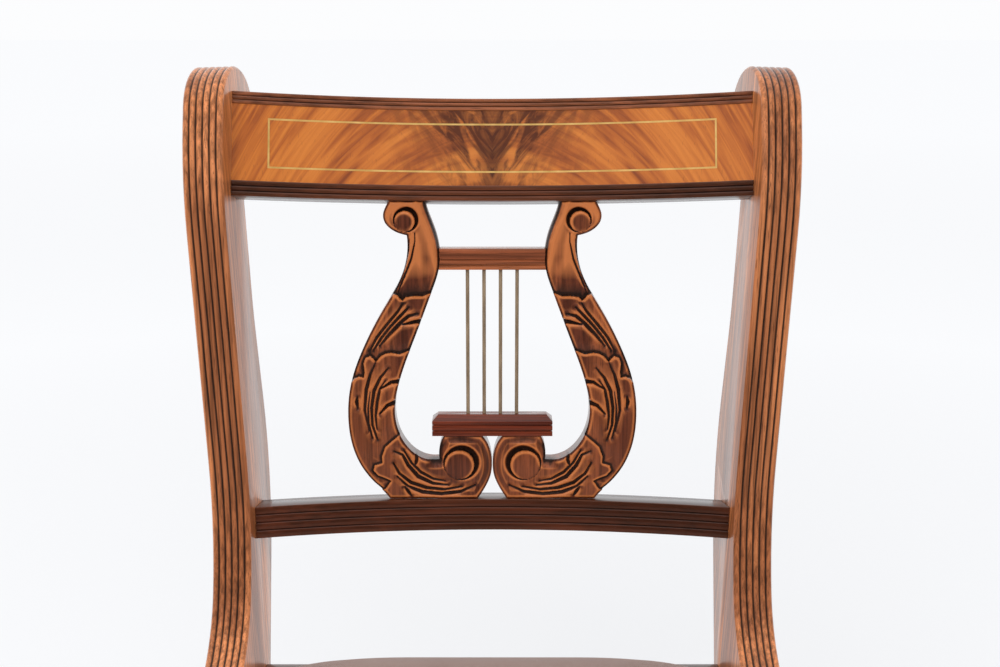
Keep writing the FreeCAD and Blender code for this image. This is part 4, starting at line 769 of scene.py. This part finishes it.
# %% [markdown]
# The leaves lie over each other like tiles. At a leaf's edge the ground drops and then rises again
# slowly, which gives the shadow line. Veins and notches are channels that fade at their ends, and
# each volute has a round eye with a crescent cut round it. It could be sculpted by hand, but rules
# in millimetres can be corrected one at a time.

# %% Depth of the carving
def carving_depth(points, from_edge):
    u, v = points[:, 0], points[:, 1]
    beyond = []
    for tip, corner in zip(LEAF_TIPS, (130.0, 130.0, 100.0)):
        leaf = np.array(tip + [(-20.0, tip[-1][1]), (-20.0, -20.0), (corner, -20.0), (corner, tip[0][1])])
        beyond.append(along_line(points, tip)[0] * np.where(inside(points, leaf), 1, -1))
    depth = np.full(len(points), 0.6)
    for index, (sink, length) in enumerate(SINK):
        before = ease((0.45 - beyond[index]) / 0.9)
        reach = np.exp(-np.maximum(-beyond[index], 0) / length)
        opened = ease((beyond[index - 1] + 0.45) / 0.9) if index else 1.0
        depth = depth + opened * before * sink * reach
    ridge_gap, ridge_side, _ = along_line(points, STEM_RIDGE)
    on_stem = ease((v - 176) / 14)
    inner = np.where(ridge_side < 0, ridge_gap, 0)
    outer = np.where(ridge_side > 0, ridge_gap, 0)
    inner_slope = np.minimum(inner * 0.62, 4.2)
    outer_hollow = 1.1 * np.sin(np.clip(outer / 11, 0, 1) * math.pi)
    depth = depth + on_stem * np.where(ridge_side < 0, inner_slope, outer_hollow)
    rim = 1.5 * (1 - ease(from_edge / 2.4))
    near_volute = np.linalg.norm(points - np.array(EYES[1][0]), axis=1)
    broad = ease((27 - near_volute) / 8)
    rim = rim * (1 - broad) + broad * 3.4 * (1 - np.clip(from_edge / 6.5, 0, 1))
    depth = depth + rim
    veins = [(width * 1.55, deep * 1.45, line) for width, deep, line in VEINS]
    depth = depth + channel(points, veins, lambda share: 0.35 + 0.65 * np.sin(np.clip(share, 0, 1) * math.pi))
    nearest = np.full(len(points), 1e9)
    for _, _, line in VEINS + NOTCHES:
        nearest = np.minimum(nearest, along_line(points, line)[0])
    depth = depth + 1.1 * np.exp(-((nearest / 2.3) ** 2)) * ease(from_edge / 2.0)
    depth = depth + channel(points, NOTCHES, lambda share: 1.25 - 0.95 * share)
    depth = depth + channel(points, STEM_CHANNELS, lambda share: 0.4 + 0.6 * np.sin(np.clip(share, 0, 1) * math.pi))
    for (centre_u, centre_v), radius, bearing in EYES:
        away = np.hypot(u - centre_u, v - centre_v)
        turn = np.arctan2(v - centre_v, u - centre_u) - math.radians(bearing)
        facing = (1 + np.cos(turn)) / 2
        wide = 0.5 + 0.5 * radius * facing**1.3
        out = (away - radius) / wide
        cut = ease((away - radius) / 0.7) * (1 - np.clip(out, 0, 1) ** 1.6)
        depth = np.where(out < 1, depth + cut * (1.2 + 3.6 * facing), depth)
        depth = np.where(out < 0, 0.35 + 0.5 * (away / radius) ** 4, depth)
    return np.clip(depth, 0.15, 7.0)


# %% [markdown]
# The rim of the flat front is read from the solid and walked round in steps of half a millimetre.
# The inside is filled with even triangles. Cutting up the flat face instead would leave long thin
# ones, and these look like scratches once they are pushed back.

# %% Outline and net of the plank
def plank_outline():
    """The longest rim of the flat front of the right arm's solid, in millimetres on the lyre's plane."""
    mesh = merged_copy("right_lyre_arm")
    flat = []
    for vertex in mesh.data.vertices:
        offset = vertex.co / MM - FOOT
        flat.append((offset.x, offset.dot(UPWARD), offset.dot(FORWARD)))
    rim = {}
    for face in mesh.data.polygons:
        if all(abs(flat[corner][2] - HALF_PLANK) < 0.02 for corner in face.vertices):
            for edge in face.edge_keys:
                rim[edge] = rim.get(edge, 0) + 1
    ways = {}
    for (first, second), uses in rim.items():
        if uses == 1:
            ways.setdefault(first, []).append(second)
            ways.setdefault(second, []).append(first)
    loops = []
    while ways:
        start = next(iter(ways))
        loop = [start]
        here = start
        while ways.get(here):
            there = ways[here].pop()
            ways[there].remove(here)
            loop.append(there)
            here = there
        for corner in [corner for corner in ways if not ways[corner]]:
            del ways[corner]
        loops.append([flat[corner][:2] for corner in loop])
    bpy.data.objects.remove(mesh)
    lengths = [sum(math.dist(a, b) for a, b in zip(loop, loop[1:])) for loop in loops]
    return np.array(loops[int(np.argmax(lengths))][:-1])


def resample(loop, step):
    closed = np.vstack([loop, loop[:1]])
    lengths = np.linalg.norm(np.diff(closed, axis=0), axis=1)
    walked = np.concatenate([[0], np.cumsum(lengths)])
    count = int(walked[-1] / step)
    places = np.linspace(0, walked[-1], count, endpoint=False)
    return np.column_stack([np.interp(places, walked, closed[:, axis]) for axis in (0, 1)])


outline = resample(plank_outline(), 0.5)
NET = 0.62
low, high = outline.min(axis=0), outline.max(axis=0)
across = np.arange(low[0], high[0], NET)
up = np.arange(low[1], high[1], NET * 0.866)
net = np.array([(x + NET / 2 * (row % 2), y) for row, y in enumerate(up) for x in across])
net = net[inside(net, outline)]
tree = kdtree.KDTree(len(outline))
for index, point in enumerate(outline):
    tree.insert((point[0], point[1], 0), index)
tree.balance()
net_gap = np.array([tree.find((x, y, 0))[2] for x, y in net])
net = net[net_gap > 0.38]
net_gap = net_gap[net_gap > 0.38]
points = np.vstack([outline, net])
from_edge = np.concatenate([np.zeros(len(outline)), net_gap])
rim_edges = [(index, (index + 1) % len(outline)) for index in range(len(outline))]
filled = geometry.delaunay_2d_cdt([Vector(point) for point in points.tolist()], rim_edges, [], 1, 1e-6)
placed = np.array([tuple(point) for point in filled[0]])
print("net of", len(placed), "points and", len(filled[2]), "triangles on the plank")

# %% [markdown]
# The depth gives the colour too. Where a point lies deeper than what is around it, and where the
# carving is deep, it is darkened: wax with painted shade. The smooth stem above the leaves is made
# paler.

# %% Depths, painted shade and paler stem of the net
SPREADS = 12
STEM_PALING = 0.72
PALE_FROM, PALE_FULL = 160.0, 194.0
EYE_CLEAR, EYE_FADE = 8.5, 5.0
depth = carving_depth(placed, from_edge)
level = depth.copy()
pairs = np.array([pair for face in filled[2] for pair in zip(face, face[1:] + face[:1])])
for _ in range(SPREADS):
    total = np.zeros(len(level))
    uses = np.zeros(len(level))
    np.add.at(total, pairs[:, 0], level[pairs[:, 1]])
    np.add.at(uses, pairs[:, 0], 1)
    level = (level + total / np.maximum(uses, 1)) / 2
# Painted shade: dips against the smoothed level, and all carving deeper than 1.7 mm, are darkened.
hollow = (depth - level) / 0.55 * ease(from_edge / 1.5) + np.clip((depth - 1.7) / 5.0, 0, 0.45)
to_eye = np.linalg.norm(placed - np.array(EYES[0][0]), axis=1)
up_the_stem = ease((placed[:, 1] - PALE_FROM) / (PALE_FULL - PALE_FROM))
on_stem = up_the_stem * ease((to_eye - EYE_CLEAR) / EYE_FADE) * ease(from_edge / 3 - 0.3)
# The smooth stem above the leaves is made paler.
hollow = hollow - STEM_PALING * on_stem * (1 - np.clip(depth / 5.0, 0, 1))
print("carved", round(float(depth.max()), 2), "mm deep at most")


# %% [markdown]
# Both arms come from the same net, one of them mirrored. The front is carved, the back is flat, and
# a wall of faces joins their rims, so each arm stays a closed body.

# %% Both arms from one net
def arm(name, side):
    rim = len(outline)
    spots = []
    for (u, v), deep in zip(placed, depth):
        spot = FOOT + UPWARD * v + FORWARD * (HALF_PLANK - deep)
        spots.append(((side * u) * MM, spot.y * MM, spot.z * MM))
    for u, v in placed[:rim]:
        spot = FOOT + UPWARD * v - FORWARD * HALF_PLANK
        spots.append(((side * u) * MM, spot.y * MM, spot.z * MM))
    faces = [tuple(face) for face in filled[2]]
    back = len(placed)
    for index in range(rim):
        after = (index + 1) % rim
        faces.append((index, after, back + after, back + index))
    faces.append(tuple(back + index for index in range(rim)))
    mesh = bpy.data.meshes.new(name)
    mesh.from_pydata(spots, [], faces)
    work = bmesh.new()
    work.from_mesh(mesh)
    bmesh.ops.recalc_face_normals(work, faces=work.faces)
    work.to_mesh(mesh)
    work.free()
    made = bpy.data.objects.new(name + "_carved", mesh)
    bpy.context.scene.collection.objects.link(made)
    mesh.materials.append(carved_wood)
    mesh.shade_smooth()
    mesh.set_sharp_from_angle(angle=math.radians(55))
    keep_hollow(mesh, np.concatenate([hollow, np.zeros(rim)]))
    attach(made, "chair_frame")
    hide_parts(name)
    return made


for name, side in (("right_lyre_arm", 1), ("left_lyre_arm", -1)):
    made = arm(name, side)
    print(name, len(made.data.polygons), "faces")

# %% [markdown]
# The slip seat is a stuffed pad under velvet. Its shape is only nearly regular: the cover is drawn
# tight over the rim and the stuffing pushes it up between. The outer form is copied from the solid,
# made into an even net, and pressed out a little by a cloth simulation, with its lower edge held.
# The pad is then drawn in wherever it comes too near the cover.

# %% Seat cushion
NET_STEP = 0.006
RIM_Z = 0.4345
MOST_SWELL = 0.0025
UNDER_COVER = 0.0012
LAST_FRAME = 20
cushion = merged_copy("seat_cover")
keep = bmesh.new()
keep.from_mesh(cushion.data)
keep.verts.ensure_lookup_table()
seat_low, seat_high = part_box("seat_cover")
hull = bmesh.ops.convex_hull(keep, input=keep.verts)
inner = [item for item in hull["geom_interior"] + hull["geom_unused"] if isinstance(item, bmesh.types.BMVert)]
bmesh.ops.delete(keep, geom=inner, context="VERTS")
bmesh.ops.delete(keep, geom=[face for face in keep.faces if face not in set(
    item for item in hull["geom"] if isinstance(item, bmesh.types.BMFace))], context="FACES_ONLY")
keep.to_mesh(cushion.data)
keep.free()
middle = Vector(((seat_low[0] + seat_high[0]) / 2, (seat_low[1] + seat_high[1]) / 2, seat_low[2]))
for vertex in cushion.data.vertices:
    vertex.co = middle + (vertex.co - middle) * 0.998
remesh = cushion.modifiers.new("even net", "REMESH")
remesh.mode = "VOXEL"
remesh.voxel_size = NET_STEP
apply_modifiers(cushion)
rest = np.array([tuple(vertex.co) for vertex in cushion.data.vertices])
held = cushion.vertex_groups.new(name="held")
held.add([index for index, point in enumerate(rest) if point[2] < RIM_Z], 1.0, "REPLACE")
cloth = cushion.modifiers.new("stuffing", "CLOTH")
cloth.settings.use_pressure = True
cloth.settings.uniform_pressure_force = 4.0
cloth.settings.effector_weights.gravity = 0.0
cloth.settings.vertex_group_mass = "held"
cloth.settings.quality = 6
cloth.point_cache.frame_start = 1
cloth.point_cache.frame_end = LAST_FRAME
scene = bpy.context.scene
for number in range(1, LAST_FRAME + 1):
    scene.frame_set(number)
apply_modifiers(cushion)
scene.frame_set(1)
moved = np.array([tuple(vertex.co) for vertex in cushion.data.vertices])
shift = moved - rest
size = np.linalg.norm(shift, axis=1)
print("stuffing moved the cover by", round(float(size.max()) * 1000, 2), "mm at most")
scale = np.minimum(1, MOST_SWELL / np.maximum(size, 1e-9))
for vertex, place, change, factor in zip(cushion.data.vertices, rest, shift, scale):
    vertex.co = Vector(place + change * factor)
smooth = cushion.modifiers.new("soft", "CORRECTIVE_SMOOTH")
smooth.iterations = 4
smooth.use_only_smooth = True
apply_modifiers(cushion)
round_off = cushion.modifiers.new("fine", "SUBSURF")
round_off.levels = 1
round_off.render_levels = 1
apply_modifiers(cushion)
cushion.data.materials.clear()
cushion.data.materials.append(velvet)
cushion.data.shade_smooth()
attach(cushion, "slip_seat")
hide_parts("seat_cover")
tucked = 0
for vertex in stuffing.data.vertices:
    _, place, normal, _ = cushion.closest_point_on_mesh(vertex.co)
    if (vertex.co - place).dot(normal) > -UNDER_COVER:
        vertex.co = place - normal * UNDER_COVER
        tucked += 1
print("cushion", len(cushion.data.polygons), "faces;", tucked, "points of the pad drawn in under it")

# %% [markdown]
# The studio: a pale floor that keeps the chair's shadow, a white surround that shows behind the chair
# and in its polish, and soft lamps from above and in front.

# %% Floor and world
floor_mesh = bpy.data.meshes.new("floor")
floor_mesh.from_pydata([(-30, -30, 0), (30, -30, 0), (30, 30, 0), (-30, 30, 0)], [], [(0, 1, 2, 3)])
floor = bpy.data.objects.new("floor", floor_mesh)
bpy.context.scene.collection.objects.link(floor)
floor_paint, tree, shader = bare_material("floor paint", Roughness=1.0)
shader.inputs["Specular IOR Level"].default_value = 0.0
shader.inputs["Emission Color"].default_value = (0.98, 0.985, 1.0, 1.0)
floor_path = node(tree, "ShaderNodeLightPath")
floor_place = node(tree, "ShaderNodeSeparateXYZ")
away = node(tree, "ShaderNodeVectorMath", operation="LENGTH")
for socket in (floor_place.inputs["Vector"], away.inputs[0]):
    tree.links.new(node(tree, "ShaderNodeTexCoord").outputs["Object"], socket)
mirrored = floor_path.outputs["Is Glossy Ray"]
floor_tone = mix(tree, mirrored, (0.6, 0.605, 0.615), (0.03, 0.03, 0.03))
tree.links.new(floor_tone, shader.inputs["Base Color"])
near_glow = remap(tree, away.outputs["Value"], 0.9, 3.0, 0.33, 0.475)
far_glow = math_node(tree, "ADD", near_glow, remap(tree, away.outputs["Value"], 3.0, 9.0, 0.0, 0.05))
behind_glow = remap(tree, floor_place.outputs["Y"], 0.1, 0.9, 0.0, 0.9)
camera_glow = math_node(tree, "MULTIPLY", floor_path.outputs["Is Camera Ray"], far_glow)
mirror_glow = math_node(tree, "MULTIPLY", mirrored, behind_glow)
tree.links.new(math_node(tree, "ADD", camera_glow, mirror_glow), shader.inputs["Emission Strength"])
floor_mesh.materials.append(floor_paint)

world = bpy.data.worlds.new("studio")
bpy.context.scene.world = world
world.use_nodes = True
tree = world.node_tree
backdrop = tree.nodes["Background"]
path = node(tree, "ShaderNodeLightPath")
direction = node(tree, "ShaderNodeSeparateXYZ")
tree.links.new(node(tree, "ShaderNodeTexCoord").outputs["Generated"], direction.inputs["Vector"])
behind = remap(tree, direction.outputs["Y"], -0.1, 0.4, 0.02, 0.97)
above = remap(tree, direction.outputs["Z"], 0.62, 0.8, 0.0, 0.6)
mirrored_light = math_node(tree, "MAXIMUM", behind, above)
plain_light = 0.75
glossy = math_node(tree, "MULTIPLY", path.outputs["Is Glossy Ray"], mirrored_light)
seen = math_node(tree, "MULTIPLY", path.outputs["Is Camera Ray"], 0.99)
diffuse = math_node(tree, "MULTIPLY", path.outputs["Is Diffuse Ray"], plain_light)
through = path.outputs["Is Transmission Ray"]
strength = math_node(tree, "ADD", math_node(tree, "ADD", glossy, seen), math_node(tree, "ADD", through, diffuse))
backdrop.inputs["Color"].default_value = (0.985, 0.99, 1.0, 1.0)
tree.links.new(strength, backdrop.inputs["Strength"])
print("floor and world ready, world has", len(tree.nodes), "nodes")


# %% [markdown]
# Lamps as large as windows shade the wood softly. They are hidden from reflections, because their
# outlines would show as white patches in the polish.

# %% Lamps
def soft_lamp(name, place, aim, size, power):
    lamp = bpy.data.lights.new(name, "AREA")
    lamp.shape = "RECTANGLE"
    lamp.size, lamp.size_y = size
    lamp.energy = power
    made = bpy.data.objects.new(name, lamp)
    made.location = place
    made.visible_glossy = False
    made.rotation_euler = (Vector(aim) - Vector(place)).to_track_quat("-Z", "Y").to_euler()
    bpy.context.scene.collection.objects.link(made)
    return made


soft_lamp("over the front", (-0.5, -2.1, 2.1), (0, 0.1, 0.6), (2.2, 1.6), 46)
soft_lamp("left wall", (-2.6, -0.4, 1.4), (0, 0.1, 0.6), (1.2, 2.0), 14)
soft_lamp("right wall", (2.6, -0.4, 1.4), (0, 0.1, 0.6), (1.2, 2.0), 14)
print("lamps:", [lamp.name for lamp in bpy.data.lights])

# %% [markdown]
# The camera stands in front of the seat, a little above the crest, and looks slightly down.

# %% Camera
camera_data = bpy.data.cameras.new("camera")
camera_data.lens = 46.8
camera_data.sensor_width = 36.0
camera_data.shift_x = 0.0077
camera_data.clip_end = 100.0
camera = bpy.data.objects.new("camera", camera_data)
camera.location = (0.0, -0.72657, 0.932)
camera.rotation_euler = (math.pi / 2 - 0.2524, 0.0, 0.0)
bpy.context.scene.collection.objects.link(camera)
bpy.context.scene.camera = camera
bpy.context.scene.view_settings.view_transform = "Standard"
print("camera at", tuple(camera.location))
